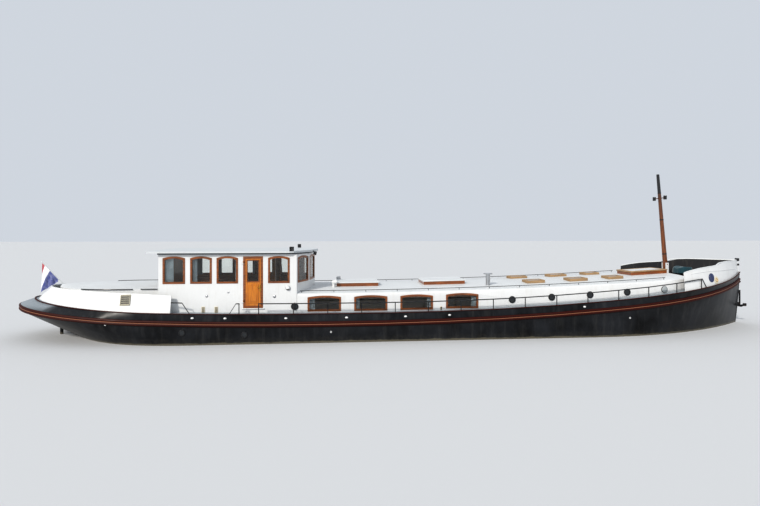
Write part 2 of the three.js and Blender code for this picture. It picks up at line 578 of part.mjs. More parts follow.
// Wheelhouse roof: cambered plate on a collar, with an overhang, bowed at the front
const ROOF_OUTLINE = [
  [-8950, -2150], [-4250, -2150], [-4100, -2080], [-3560, -1080], [-3340, 0],
  [-3560, 1080], [-4100, 2080], [-4250, 2150], [-8950, 2150],
];
const FASCIA_BOTTOM = 4125;
const ROOF_SECTION = [
  [-2200, FASCIA_BOTTOM], [2200, FASCIA_BOTTOM], [2200, 4185], [1400, 4198], [0, 4205],
  [-1400, 4198], [-2200, 4185],
];
const ROOF_COLLAR = 30;
const roofPlate = prism('x', ROOF_SECTION, -9000, -3300).intersect(prism('z', ROOF_OUTLINE, 4000, 4300));
const roofCollar = prism('z', wallOutline(-ROOF_COLLAR), WHEELHOUSE.top + SEAT_GAP, FASCIA_BOTTOM + 5);
const wheelhouseRoof = join(roofPlate, roofCollar);
addPiece('wheelhouse_roof', wheelhouseRoof, 'roof');

// Doors: a leaf as thick as the wall, with its window cut, and the pane in it
const DOOR_GAP = 6;
const DOOR_WINDOW = { aft: -5670, fore: -5305, bottom: 3160, top: 3860 };
const doorInner = CABIN_HALF - DOOR.thickness;
const doorSlab = box(
  DOOR.aft + DOOR_GAP, DOOR.fore - DOOR_GAP, doorInner, CABIN_HALF,
  DOOR.bottom + DOOR_GAP, DOOR.top - DOOR_GAP,
);
const doorWindow = box(
  DOOR_WINDOW.aft, DOOR_WINDOW.fore, doorInner - 10, CABIN_HALF + 10, DOOR_WINDOW.bottom, DOOR_WINDOW.top,
);
const hingeBarrels = HINGE.places.flatMap((z) => [
  bar([HINGE.x, HINGE.y, z], [HINGE.x, HINGE.y, z + HINGE.length], HINGE.radius),
  box(HINGE.x, HINGE.x + 50, CABIN_HALF - 2, CABIN_HALF + 6, z, z + HINGE.length),
]);
const doorLeaf = join(cut(doorSlab, doorWindow), hingeBarrels);
const doorPane = box(
  DOOR_WINDOW.aft + SEAT_GAP, DOOR_WINDOW.fore - SEAT_GAP, CABIN_HALF - 27, CABIN_HALF - 19,
  DOOR_WINDOW.bottom + SEAT_GAP, DOOR_WINDOW.top - SEAT_GAP,
);
addPiece('door_port', doorLeaf, 'wood');
addPiece('door_starboard', mirrorY(doorLeaf), 'wood');
addPiece('door_glass_port', doorPane, 'glass');
addPiece('door_glass_starboard', mirrorY(doorPane), 'glass');

// Aft cabin: a low trunk with a round after end between the wheelhouse and the stern
function aftCabinShell(inset, drop) {
  const tip = AFT_CABIN.aft + inset;
  const level = { half: AFT_CABIN.half - inset, fore: [0, 1, 1], aft: [-10200, tip, 2, 0.6], z: () => 0 };
  const rings = [];
  const count = 10;
  for (let i = 0; i <= count + 1; i += 1) {
    const s = i <= count ? -1 + i / count : 0;
    const p = levelPoint(level, Math.min(s, -1e-9));
    const x = i <= count ? p.x : AFT_CABIN.fore + drop;
    const y = Math.max(i <= count ? p.y : level.half, STEM_HALF);
    const edge = AFT_CABIN.top - inset - 70;
    rings.push([
      new THREE.Vector3(x, y, 1950 - drop), new THREE.Vector3(x, y, edge),
      new THREE.Vector3(x, y * 0.6, edge + 50), new THREE.Vector3(x, -y * 0.6, edge + 50),
      new THREE.Vector3(x, -y, edge), new THREE.Vector3(x, -y, 1950 - drop),
    ]);
  }
  return loft(rings, ladderCap(6));
}
const aftCabin = cut(aftCabinShell(0, 0), aftCabinShell(AFT_CABIN.wall, 200), hullSeat);
addPiece('aft_cabin', aftCabin, 'white');

// Railings along the side deck. The posts stand just inside the deck edge.
const RAIL = { inset: 44, height: 355, radius: 18, first: -5245, pitch: 1152, posts: 15 };
const railHalf = (x) => halfBreadth(LEVELS.deck, x) - RAIL.inset;
const railPoint = (x, up) => new THREE.Vector3(x, railHalf(x), deckHeight(x) + up);
// Six-sided section of a rail, as [out, up] points
const railSection = (radius) => Array.from({ length: 6 }, (_, i) => (
  [radius * Math.cos((i * Math.PI) / 3), radius * Math.sin((i * Math.PI) / 3)]
));
const upright = (foot, head, radius) => bar(foot.toArray(), head.toArray(), radius, radius, 6);
const post = (x) => upright(railPoint(x, -40), railPoint(x, RAIL.height - 2), RAIL.radius - 2);
const railRun = (points, radius) => moulding(points, railSection(radius));
const postPlaces = Array.from({ length: RAIL.posts }, (_, i) => RAIL.first + i * RAIL.pitch);
const lastPost = postPlaces[postPlaces.length - 1];
const longPlaces = [RAIL.first - RAIL.radius, ...postPlaces.slice(1), lastPost + 40];
const longRun = longPlaces.map((x) => railPoint(x, RAIL.height));
const longRail = cut(join(
  postPlaces.map(post),
  railRun([...longRun, railPoint(lastPost + 290, -30)], RAIL.radius),
), hullSeat);
const GATE_POST = -5890;
const GATE_RUN = [[GATE_POST + RAIL.radius, RAIL.height], [-5990, RAIL.height], [-6230, -30]];
const gateRun = GATE_RUN.map(([x, up]) => railPoint(x, up));
const gateRail = cut(join(post(GATE_POST), railRun(gateRun, RAIL.radius)), hullSeat);
// The aftermost bar starts on the bulwark's end and slants to the deck
const aftRun = [
  new THREE.Vector3(-8127, 2230, 2490), new THREE.Vector3(-7740, 2345, 2490), railPoint(-7470, -30),
];
const aftRail = cut(railRun(aftRun, RAIL.radius), hullSeat, aftBulwark.translate([SEAT_GAP, 0, 0]));
for (const [name, solid] of [['long', longRail], ['gate', gateRail], ['aft', aftRail]]) {
  addPiece(`railing_${name}_port`, solid, 'rail');
  addPiece(`railing_${name}_starboard`, mirrorY(solid), 'rail');
}

// Grab rails on the coachroof edge
const GRAB = { first: -3850, feet: 13, pitch: 1116, up: 60, inset: 150, radius: 11 };
const grabPoint = (x, up) => new THREE.Vector3(x, coachHalf(x) - GRAB.inset, roofEdgeHeight(x) + 18 + up);
const grabPlaces = Array.from({ length: GRAB.feet }, (_, i) => GRAB.first + i * GRAB.pitch);
const grabRail = cut(join(
  grabPlaces.map((x) => upright(grabPoint(x, -60), grabPoint(x, GRAB.up), GRAB.radius - 2)),
  railRun([GRAB.first - 60, ...grabPlaces.slice(1, -1), 9600].map((x) => grabPoint(x, GRAB.up)), GRAB.radius),
), roofSeat);
addPiece('grab_rail_port', grabRail, 'rail');
addPiece('grab_rail_starboard', mirrorY(grabRail), 'rail');

// Propeller and its shaft
const hubAft = PROPELLER.x - 110;
const hubFore = PROPELLER.x + 85;
const propellerHub = bar([hubAft, 0, SHAFT_Z], [hubFore, 0, SHAFT_Z], 45, PROPELLER.hub, 24);
const shaft = bar([PROPELLER.x, 0, SHAFT_Z], [-11320, 0, SHAFT_Z], SHAFT_RADIUS, SHAFT_RADIUS, 32);
const BLADE_OUTLINE = [
  [-60, 40], [60, 40], [150, 180], [130, 290], [60, 345], [-40, 345], [-115, 290], [-130, 170],
];
const blade = prism('x', BLADE_OUTLINE, -9, 9).rotate([0, 0, 32]);
const blades = Array.from({ length: PROPELLER.blades }, (_, i) => (
  blade.rotate([(i * 360) / PROPELLER.blades, 0, 0]).translate([PROPELLER.x, 0, SHAFT_Z])
));
addPiece('propeller', join(propellerHub, shaft, blades), 'bronze');

// Rudder: blade, stock into the counter and pintle in the shoe
const bladeOutline = [
  [RUDDER.aft, RUDDER.bottom + 130], [RUDDER.aft + 130, RUDDER.bottom],
  [RUDDER.fore, RUDDER.bottom], [RUDDER.fore, RUDDER.top],
  [RUDDER.aft + 130, RUDDER.top], [RUDDER.aft, RUDDER.top - 130],
];
const rudder = join(
  prism('y', bladeOutline, -25, 25),
  bar([RUDDER.x, 0, SHOE_TOP + 15], [RUDDER.x, 0, 1700], RUDDER.stock, RUDDER.stock, 32),
  bar([RUDDER.x, 0, 35], [RUDDER.x, 0, 300], PINTLE_RADIUS, PINTLE_RADIUS, 32),
);
addPiece('rudder', rudder, 'hull');

// Helm: console on the bulkhead and a spoked wheel on its shaft
const HELM_BORE = 21;
const consoleBody = cut(
  box(-4450, -4068, -450, 450, SOLE_TOP + SEAT_GAP, 2850),
  bar([-4600, 0, HELM.z], [-4200, 0, HELM.z], HELM_BORE, HELM_BORE, 24),
);
const consoleHead = cut(
  box(-4450, -4250, -250, 250, 2800, 3320),
  bar([-4600, 0, HELM.z], [-4300, 0, HELM.z], HELM_BORE, HELM_BORE, 24),
);
addPiece('helm_console', join(consoleBody, consoleHead), 'wood');
const rim = solidOf(new THREE.TorusGeometry(HELM.radius, 22, 6, 24).rotateY(Math.PI / 2));
const spokes = Array.from({ length: 8 }, (_, i) => {
  const angle = (i * Math.PI) / 4;
  const reach = HELM.radius + 130;
  return bar([0, 0, 0], [0, reach * Math.cos(angle), reach * Math.sin(angle)], 14, 14, 8);
});
const wheelHub = bar([-40, 0, 0], [40, 0, 0], 70, 70, 16);
const wheelShaft = bar([0, 0, 0], [410, 0, 0], HELM_BORE - 1, HELM_BORE - 1, 24);
addPiece('steering_wheel', join(rim, spokes, wheelHub, wheelShaft).translate([HELM.x, 0, HELM.z]), 'wood');

// Engine: one block on the engine room floor
addPiece('engine', box(-7000, -5200, -450, 450, 350 + SEAT_GAP, 1500), 'steel');

// Tabernacle: two cheeks on a base, open fore and aft, and the mast hinged between them
const cheekOuter = 132;
const cheekInner = 106;
const CHEEK_HALF_LENGTH = 65;
const [cheekAft, cheekFore] = [MAST.x - CHEEK_HALF_LENGTH, MAST.x + CHEEK_HALF_LENGTH];
const pinHole = bar([MAST.x, -300, MAST.pivotZ], [MAST.x, 300, MAST.pivotZ], 21, 21, 24);
const tabernacle = cut(join(
  box(cheekAft, cheekFore, -cheekOuter, -cheekInner, 1900, 3590),
  box(cheekAft, cheekFore, cheekInner, cheekOuter, 1900, 3590),
  box(cheekAft, cheekFore, -cheekOuter, cheekOuter, 1900, 3050),
), hullSeat, pinHole);
addPiece('tabernacle', tabernacle, 'white');
const rake = THREE.MathUtils.degToRad(MAST.rakeDeg);
const mastPoint = (z) => [MAST.x - (z - MAST.pivotZ) * Math.tan(rake), 0, z];
const crossZ = 6200;
const armAft = mastPoint(crossZ)[0] - 240;
const armFore = mastPoint(crossZ)[0] + 230;
const mast = join(
  bar(mastPoint(MAST.footZ), mastPoint(MAST.topZ), MAST.footRadius, MAST.topRadius, 16),
  bar([armAft, 0, crossZ], [armFore, 0, crossZ + 60], 16, 16, 8),
  bar([armAft, 0, crossZ - 70], [armAft, 0, crossZ + 70], 55, 55, 12),
  bar([armFore, 0, crossZ - 10], [armFore, 0, crossZ + 140], 60, 60, 12),
);
const hingePin = bar([MAST.x, -cheekOuter, MAST.pivotZ], [MAST.x, cheekOuter, MAST.pivotZ], 20, 20, 24);
addPiece('mast', join(mast, hingePin), 'wood');

// Windlass on the foredeck with a fabric cover over it
const windlass = cut(join(
  box(11350, 11850, -330, -280, 1900, 3150),
  box(11350, 11850, 280, 330, 1900, 3150),
  bar([11600, -420, 2980], [11600, 420, 2980], 110, 110, 16),
  box(11350, 11850, -330, 330, 1900, 2880),
), hullSeat);
addPiece('windlass', windlass, 'steel');
const COVER_BOTTOM = 3150 + SEAT_GAP;
const coverOutline = [
  [-370, COVER_BOTTOM], [370, COVER_BOTTOM], [380, 3300], [250, 3430], [-250, 3440], [-380, 3290],
];
addPiece('windlass_cover', prism('x', coverOutline, 11270, 11930), 'teal');

// Anchor hung at the stem, with its shackle against the stem
const ANCHOR_ARMS = [
  [-215, 1860], [-230, 1840], [-90, 1740], [90, 1740], [230, 1840], [215, 1860], [0, 1815],
];
const shackle = cut(box(14050, 14150, -25, 25, 2370, 2430), hullSkin.translate([SEAT_GAP, 0, 0]));
const anchor = join(
  shackle,
  box(14110, 14150, -28, 28, 1780, 2380),
  prism('x', ANCHOR_ARMS, 14110, 14165),
  box(14120, ANCHOR_REACH, -235, -175, 1790, 1900),
  box(14120, ANCHOR_REACH, 175, 235, 1790, 1900),
);
addPiece('anchor', anchor, 'steel');

// Stern and bow bollards: two posts on a base
function bollard(x, y, yawDeg) {
  const z = deckHeight(x);
  const posts = [-150, 150].map((dx) => bar([dx, 0, -60], [dx, 0, 260], 60, 60, 12));
  const heads = [-150, 150].map((dx) => bar([dx, 0, 240], [dx, 0, 265], 75, 75, 12));
  const base = box(-250, 250, -90, 90, -80, 25);
  return cut(join(posts, heads, base).rotate([0, 0, yawDeg]).translate([x, y, z]), hullSeat);
}
const bowBollard = bollard(12300, 900, -35);
const sternBollard = bollard(-12480, 770, 45);
addPiece('bollard_bow_port', bowBollard, 'steel');
addPiece('bollard_bow_starboard', mirrorY(bowBollard), 'steel');
addPiece('bollard_stern_port', sternBollard, 'steel');
addPiece('bollard_stern_starboard', mirrorY(sternBollard), 'steel');

// Cowl vents and the stove flue on the coachroof. Columns: name, x, y
for (const [name, x, y] of [['cowl_vent_starboard', -2745, -760], ['cowl_vent_port', -2560, 1000]]) {
  const z = roofEdgeHeight(x) + ROOF_CAMBER * (1 - (y / CABIN_HALF) ** 2);
  const cowl = join(
    bar([x, y, z - 60], [x, y, z + 170], 48, 48, 16),
    ball([x, y, z + 190], 70),
    bar([x, y, z + 190], [x + 110, y, z + 200], 62, 88, 16),
  );
  const mouth = bar([x + 40, y, z + 193], [x + 150, y, z + 203], 50, 78, 16);
  addPiece(name, cut(cowl, mouth, roofSeat), 'white');
}
const fluePlace = [2990, -1200];
const flueBase = roofEdgeHeight(fluePlace[0]) + 50;
const flue = cut(join(
  bar([...fluePlace, flueBase - 60], [...fluePlace, flueBase + 430], 78, 78, 16),
  bar([...fluePlace, flueBase + 425], [...fluePlace, flueBase + 455], 165, 165, 20),
), roofSeat);
addPiece('stove_flue', flue, 'white');

// Flagstaff leaning aft over the stern, with the ensign hanging from it
const staffFoot = [-12600, 0, 2900];
const staffTop = [-13380, 0, 3740];
const staffSocket = bar([-12600, 0, 2500], staffFoot, 25, 25, 10);
const staff = cut(
  join(bar(staffFoot, staffTop, 18, 14, 10), ball(staffTop, 22), staffSocket),
  aftCabin, aftCabinShell(0, 0).translate([0, 0, SEAT_GAP]),
);
addPiece('flagstaff', staff, 'wood');
const flagOutline = [
  [-13360, 3716], [-12790, 3102], [-12800, 3020], [-12985, 2935], [-13130, 2870], [-13400, 2600],
  [-13425, 2670],
];
const staffRoom = bar(staffFoot, staffTop, 18 + SEAT_GAP, 14 + SEAT_GAP, 10);
addPiece('ensign', cut(prism('y', flagOutline, -35, 35), staffRoom), 'cloth');

export default boat;
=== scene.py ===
import json
import math

import bpy
from bpy.props import FloatProperty, FloatVectorProperty, IntProperty, PointerProperty
from mathutils import Matrix, Vector

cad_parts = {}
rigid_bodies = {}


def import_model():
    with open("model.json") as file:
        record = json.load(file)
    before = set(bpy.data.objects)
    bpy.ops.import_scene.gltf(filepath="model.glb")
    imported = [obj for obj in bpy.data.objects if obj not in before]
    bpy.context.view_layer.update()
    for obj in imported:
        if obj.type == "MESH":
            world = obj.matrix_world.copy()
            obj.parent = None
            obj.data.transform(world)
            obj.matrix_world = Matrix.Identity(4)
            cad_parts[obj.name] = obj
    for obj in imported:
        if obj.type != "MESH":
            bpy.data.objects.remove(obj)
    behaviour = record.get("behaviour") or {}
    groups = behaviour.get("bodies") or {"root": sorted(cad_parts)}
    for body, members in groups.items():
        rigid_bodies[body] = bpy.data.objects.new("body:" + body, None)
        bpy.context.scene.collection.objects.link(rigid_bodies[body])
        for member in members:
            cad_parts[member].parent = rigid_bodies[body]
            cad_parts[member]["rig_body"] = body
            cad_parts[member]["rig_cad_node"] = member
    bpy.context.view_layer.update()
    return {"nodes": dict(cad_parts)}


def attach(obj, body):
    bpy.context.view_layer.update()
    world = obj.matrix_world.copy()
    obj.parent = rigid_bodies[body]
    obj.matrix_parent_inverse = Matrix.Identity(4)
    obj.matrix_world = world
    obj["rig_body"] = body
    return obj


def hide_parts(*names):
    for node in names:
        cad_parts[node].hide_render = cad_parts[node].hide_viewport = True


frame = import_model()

bl_info = {
    "name": "Motor barge houseboat",
    "version": (1, 0, 0),
    "blender": (4, 5, 0),
    "location": "View3D > Sidebar > Barge",
    "description": "Dresses the packed houseboat with finishes, glazing, fittings, cloth and a studio",
    "category": "Object",
}

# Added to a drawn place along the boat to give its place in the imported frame
SHIFT = -0.130
# Height of the waterline
WATER = 1.100
CABIN_HALF = 2.000
HOUSE_AFT = -8.610 + SHIFT
HOUSE_MIDDLE = Vector((-6.4, 0.0, 3.1))
WALL = 0.050
FASCIA_BOTTOM = 4.125
COACH_WALL = 0.060
ROOF_CAMBER = 0.090
SIDES = ((-1, "starboard"), (1, "port"))
# How far a face may lie from the middle of the glass and still be the pane
PANE_REACH = 0.008
# A bulwark's plating starts this far under the deck's edge
FOOT_DROP = 0.06
DOOR_MIDDLE = -5.4875 + SHIFT
# Heel of the mast and its rake towards the stern
MAST_HEEL_X, MAST_HEEL_Z = 10.840 + SHIFT, 3.520
MAST_RAKE = math.radians(5)
# Vertices of a node closer than this are merged
MERGE_REACH = 0.00002


# Lines of the boat in metres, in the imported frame
def rising_line(x, middle, fore, aft):
    """A line that rises to both ends, each given as where it starts, length, rise and power"""
    ahead = max(x - SHIFT - fore[0], 0) / fore[1]
    behind = max(aft[0] - x + SHIFT, 0) / aft[1]
    return WATER + middle + fore[2] * ahead ** fore[3] + aft[2] * behind ** aft[3]


def deck_height(x):
    return rising_line(x, 0.970, (-1.5, 15.62, 1.098, 2.15), (-1.5, 12.07, 0.420, 3))


def rub_height(x):
    return rising_line(x, 0.630, (-2.0, 16.1, 1.105, 2.1), (-2.0, 12.15, 0.535, 2.6))


def roof_edge(x):
    return WATER + 1.620 + 0.400 * (max(x - SHIFT + 4.0, 0) / 14.6) ** 2.2


def coach_half(x):
    return CABIN_HALF - 0.250 * (max(x - SHIFT - 8.5, 0) / 2.15) ** 2


def plan_half(x, half, fore, aft):
    """Half breadth of one level of the hull, each end given as its start, its end and its powers"""
    place = x - SHIFT
    s = min(max((place - fore[0]) / (fore[1] - fore[0]), 0), 1)
    t = min(max((place - aft[0]) / (aft[1] - aft[0]), 0), 1)
    return half * (1 - s ** fore[2]) * (1 - t ** aft[2]) ** aft[3]


def deck_half(x):
    return plan_half(x, 2.420, (7.0, 14.12, 3.1), (-8.5, -13.51, 2, 0.6))


def rub_half(x):
    return plan_half(x, 2.450, (7.0, 14.1, 2.7), (-9.0, -13.92, 2, 0.5))


def water_half(x):
    return plan_half(x, 2.450, (6.5, 13.93, 2.1), (-7.0, -12.2, 3, 1))


def topside_half(x):
    return plan_half(x, 2.450, (6.75, 14.03, 2.4), (-8.0, -13.2, 2.4, 0.9))


def skin_half(x, z):
    """Half breadth of the hull's skin above the waterline, at a place along it and a height"""
    rub, deck = rub_height(x), deck_height(x)
    middle = (WATER + rub - 0.1) / 2
    rows = [
        (WATER, water_half(x)), (middle, topside_half(x)), (rub - 0.1, rub_half(x)),
        (rub + 0.1, rub_half(x)), (deck, deck_half(x)),
    ]
    for (z0, y0), (z1, y1) in zip(rows, rows[1:]):
        if z <= z1:
            return y0 + (y1 - y0) * max(z - z0, 0) / (z1 - z0)
    return rows[-1][1]


def table_value(table, x):
    """Straight lines between the rows of a table of place and value"""
    for (x0, v0), (x1, v1) in zip(table, table[1:]):
        if x <= x1:
            return v0 + (v1 - v0) * max(x - x0, 0) / (x1 - x0)
    return table[-1][1]


BOW_CAP = [
    (10.1, 2.22), (10.45, 2.3), (10.9, 2.37), (11.45, 2.42), (11.8, 2.44), (11.98, 2.47),
    (12.08, 2.545), (12.64, 2.58), (14.1, 2.565),
]


def bow_cap_height(x):
    return WATER + table_value(BOW_CAP, x - SHIFT)


def bow_foot_half(x):
    return plan_half(x, 2.355, (7.0, 14.07, 3.1), (-90, -91, 1, 1))


def bow_cap_half(x):
    return plan_half(x, 2.310, (7.0, 14.015, 2.9), (-90, -91, 1, 1))


def bow_skin_half(x, z):
    """Half breadth of the bow bulwark's outside at a height"""
    foot = deck_height(x) - FOOT_DROP
    share = (z - foot) / (bow_cap_height(x) - foot)
    return bow_foot_half(x) + (bow_cap_half(x) - bow_foot_half(x)) * share


def aft_cap_height(x):
    return WATER + 1.600 + 0.190 * (max(-8.13 - x + SHIFT, 0) / 4.87) ** 0.8


def aft_foot_half(x):
    return plan_half(x, 2.360, (7.0, 14.12, 3.1), (-8.13, -13.46, 2, 0.6))


def aft_cap_half(x):
    return plan_half(x, 2.200, (7.0, 14.12, 3.1), (-8.13, -13.0, 2, 0.6))


def aft_skin_half(x, z):
    """Half breadth of the aft bulwark's outside at a height"""
    foot = deck_height(x) - FOOT_DROP
    share = (z - foot) / (aft_cap_height(x) - foot)
    return aft_foot_half(x) + (aft_cap_half(x) - aft_foot_half(x)) * share


def aft_cabin_half(x):
    """Half breadth of the aft cabin at its roof"""
    return 1.700 * (1 - (max(-10.2 - x + SHIFT, 0) / 2.45) ** 2) ** 0.6


def mast_axis(z):
    """Place along the boat of the mast's axis at a height"""
    return MAST_HEEL_X - (z - MAST_HEEL_Z) * math.tan(MAST_RAKE)


def eased(start, end, count):
    """Places from start to end that close up towards the end"""
    return [start + (end - start) * math.sin(i / count * math.pi / 2) for i in range(count + 1)]


def linear(code):
    """A hex colour as linear red, green and blue"""
    values = [int(code[i:i + 2], 16) / 255 for i in (0, 2, 4)]
    return tuple(v / 12.92 if v <= 0.04045 else ((v + 0.055) / 1.055) ** 2.4 for v in values)


def colour_property(label, words, code):
    return FloatVectorProperty(
        name=label, description=words, subtype="COLOR", size=3, min=0, max=1, default=linear(code)
    )


class BargeColours(bpy.types.PropertyGroup):
    """Paints, timber and cloth"""
    hull: colour_property("Hull", "Topside paint", "0b0c0f")
    bottom: colour_property("Bottom", "Paint below the waterline", "2a1c18")
    scum: colour_property("Waterline", "Dried scum at the waterline", "6f6a5c")
    red: colour_property("Rub rail", "Rub rails and deck edge", "3f1108")
    line: colour_property("Line", "Line between the rub rails", "a07258")
    white: colour_property("White", "Cabin sides and bulwarks", "e2e3e3")
    roof: colour_property("Roof", "Roof of the wheelhouse", "d0d4d6")
    deck: colour_property("Deck", "Side decks and foredeck", "8d959b")
    varnish: colour_property("Varnish", "Light grain of the varnished timber", "a2602c")
    grain: colour_property("Grain", "Dark grain of the varnished timber", "6b3813")
    door_light: colour_property("Door timber", "Light grain of the side doors", "d68a1c")
    door_dark: colour_property("Door grain", "Dark grain of the side doors", "a8600f")
    frame_light: colour_property("Window timber", "Light grain of the window frames", "a3602e")
    frame_dark: colour_property("Window grain", "Dark grain of the window frames", "5f3414")
    bare: colour_property("Skylight timber", "Sun-bleached timber", "b79a77")
    rail: colour_property("Rails", "Painted railings", "191d21")
    iron: colour_property("Ironwork", "Windlass, anchor and bollards", "24272a")
    brass: colour_property("Brass", "Polished fittings", "d9a94a")
    teal: colour_property("Cover", "Cloth over the windlass", "1d4a55")
    curtain: colour_property("Curtains", "Curtains behind the windows", "cfdbe4")
    flag_top: colour_property("Ensign top", "Upper stripe of the ensign", "b8404a")
    flag_bottom: colour_property("Ensign bottom", "Lower stripe of the ensign", "4d5792")


class BargeSizes(bpy.types.PropertyGroup):
    """Sizes of the fittings"""
    porthole: FloatProperty(
        name="Porthole", description="Radius over the rim", default=0.125, unit="LENGTH",
        subtype="DISTANCE",
    )
    scupper: FloatProperty(
        name="Scupper", description="Radius of a scupper's hood", default=0.046, unit="LENGTH",
        subtype="DISTANCE",
    )
    cap_rail: FloatProperty(
        name="Cap rail", description="Radius of the bulwarks' cap rail", default=0.022, unit="LENGTH",
        subtype="DISTANCE",
    )
    curtain_folds: IntProperty(name="Folds", description="Folds in one curtain", default=7, min=3, max=20)


# Selection and modelling helpers
def clear_selection():
    if bpy.context.object and bpy.context.object.mode != "OBJECT":
        bpy.ops.object.mode_set(mode="OBJECT")
    bpy.ops.object.select_all(action="DESELECT")


def select_only(*pieces):
    clear_selection()
    for piece in pieces:
        piece.select_set(True)
    bpy.context.view_layer.objects.active = pieces[0]


def fix_place(piece):
    select_only(piece)
    bpy.ops.object.transform_apply(location=True, rotation=True, scale=True)


def added(name):
    piece = bpy.context.object
    piece.name = name
    piece.data.name = name
    return piece


def block(name, low, high):
    """A box between two corners"""
    clear_selection()
    low, high = Vector(low), Vector(high)
    bpy.ops.mesh.primitive_cube_add(size=1, location=(low + high) / 2, scale=high - low)
    piece = added(name)
    fix_place(piece)
    return piece


def rod(name, start, end, radius, sides=16, end_radius=None):
    """A round bar between two points, tapered if a second radius is given"""
    clear_selection()
    start, end = Vector(start), Vector(end)
    turn = (end - start).to_track_quat("Z", "Y").to_euler()
    bpy.ops.mesh.primitive_cone_add(
        vertices=sides, radius1=radius, radius2=radius if end_radius is None else end_radius,
        depth=(end - start).length, location=(start + end) / 2, rotation=turn,
    )
    piece = added(name)
    fix_place(piece)
    return piece


def cut_off(piece, point, normal, ahead=False):
    """Cuts a piece by a plane, caps it and drops what lies behind the plane, or ahead of it"""
    select_only(piece)
    bpy.ops.object.mode_set(mode="EDIT")
    bpy.ops.mesh.select_all(action="SELECT")
    bpy.ops.mesh.bisect(
        plane_co=point, plane_no=normal, use_fill=True, clear_inner=not ahead, clear_outer=ahead
    )
    leave_edit()


def dome(name, radius, scale=(1, 1, 1), lift=0, segments=16, rings=8):
    """Half a ball that faces +Z, its flat side at a height over the origin"""
    clear_selection()
    bpy.ops.mesh.primitive_uv_sphere_add(segments=segments, ring_count=rings, radius=radius)
    piece = added(name)
    cut_off(piece, (0, 0, 0), (0, 0, 1))
    piece.scale = scale
    piece.location = (0, 0, lift)
    fix_place(piece)
    return piece


def pick_faces(piece, test):
    """Selects the faces that pass the test and goes into edit mode"""
    select_only(piece)
    mesh = piece.data
    mesh.vertices.foreach_set("select", [False] * len(mesh.vertices))
    mesh.edges.foreach_set("select", [False] * len(mesh.edges))
    mesh.polygons.foreach_set("select", [bool(test(face)) for face in mesh.polygons])
    bpy.ops.object.mode_set(mode="EDIT")
    bpy.ops.mesh.select_mode(type="FACE")


def leave_edit():
    bpy.ops.object.mode_set(mode="OBJECT")


def inset_panel(piece, test, border, depth):
    """Insets the picked faces as one and pushes the middle in or out along its normal"""
    pick_faces(piece, test)
    bpy.ops.mesh.inset(thickness=border, depth=0)
    bpy.ops.mesh.inset(thickness=abs(depth) * 0.6, depth=depth)
    leave_edit()


def round_edges(piece, width, angle=40):
    select_only(piece)
    bpy.ops.object.modifier_add(type="BEVEL")
    bevel = piece.modifiers[-1]
    bevel.width = width
    bevel.segments = 2
    bevel.limit_method = "ANGLE"
    bevel.angle_limit = math.radians(angle)
    bpy.ops.object.modifier_apply(modifier=bevel.name)


def turn_faces_out(piece):
    """Recalculates the normals of a closed piece"""
    select_only(piece)
    bpy.ops.object.mode_set(mode="EDIT")
    bpy.ops.mesh.select_all(action="SELECT")
    bpy.ops.mesh.normals_make_consistent(inside=False)
    leave_edit()


def disc(name, radius, thick, sides, lift):
    """A round plate that faces +Z, its middle at a height over the origin"""
    clear_selection()
    bpy.ops.mesh.primitive_cylinder_add(
        vertices=sides, radius=radius, depth=thick, location=(0, 0, lift)
    )
    piece = added(name)
    fix_place(piece)
    return piece


def hoop(name, radius, bar, sides, bar_sides=6, lift=0):
    """A round bar bent to a circle that faces +Z"""
    clear_selection()
    bpy.ops.mesh.primitive_torus_add(
        major_radius=radius, minor_radius=bar, major_segments=sides, minor_segments=bar_sides,
        location=(0, 0, lift),
    )
    piece = added(name)
    fix_place(piece)
    return piece


def top_face(area=0.0, below=math.inf, slant=0.9):
    """A test for faces that look up, over an area and below a height"""
    return lambda face: face.normal.z > slant and face.area > area and face.center.z < below


def slat_row(wide, high, count, insets, halves, tilt, lift, finish):
    """Tilted slats across a vent; the insets are at a slat's ends and from the vent's edges"""
    (end_inset, edge_inset), (half_deep, half_thick) = insets, halves
    half_long = wide / 2 - end_inset
    row = []
    for i in range(count):
        slat = block("slat", (-half_long, -half_deep, -half_thick), (half_long, half_deep, half_thick))
        slat.rotation_euler = (math.radians(tilt), 0, 0)
        slat.location = (0, -high / 2 + edge_inset + i * (high - 2 * edge_inset) / (count - 1), lift)
        fix_place(slat)
        row.append(add_finish(slat, finish))
    return row


def copy_of(piece, name):
    select_only(piece)
    bpy.ops.object.duplicate()
    return added(name)


def joined(name, *pieces):
    """One object from several"""
    select_only(*pieces)
    if len(pieces) > 1:
        bpy.ops.object.join()
    return added(name)


def put(piece, at, out=(0, -1, 0), up=(0, 0, 1)):
    """Moves a piece made at the origin so that its +Z faces out and its +Y faces up"""
    out = Vector(out).normalized()
    up = (Vector(up) - out * Vector(up).dot(out)).normalized()
    side = up.cross(out)
    turn = Matrix((side, up, out)).transposed().to_4x4()
    piece.matrix_world = Matrix.Translation(at) @ turn
    fix_place(piece)
    return piece


def mirrored(piece, name):
    """A copy on the other side of the centre line"""
    copy = copy_of(piece, name)
    copy.scale = (1, -1, 1)
    fix_place(copy)
    turn_faces_out(copy)
    return copy


def paint_faces(piece, index, test):
    for face in piece.data.polygons:
        if test(face):
            face.material_index = index


def finish_piece(piece, body, finishes, angle=35):
    """Gives a piece its finish and its body"""
    fix_place(piece)
    finishes = [finishes] if isinstance(finishes, str) else finishes
    if len(finishes) == 1 or len(piece.data.materials) == 0:
        add_finish(piece, *finishes)
    bpy.ops.object.shade_smooth_by_angle(angle=math.radians(angle))
    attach(piece, body)
    return piece


def add_finish(piece, *finishes):
    """Gives a piece these finishes in place of its own"""
    piece.data.materials.clear()
    for name in finishes:
        piece.data.materials.append(bpy.data.materials[name])
    return piece


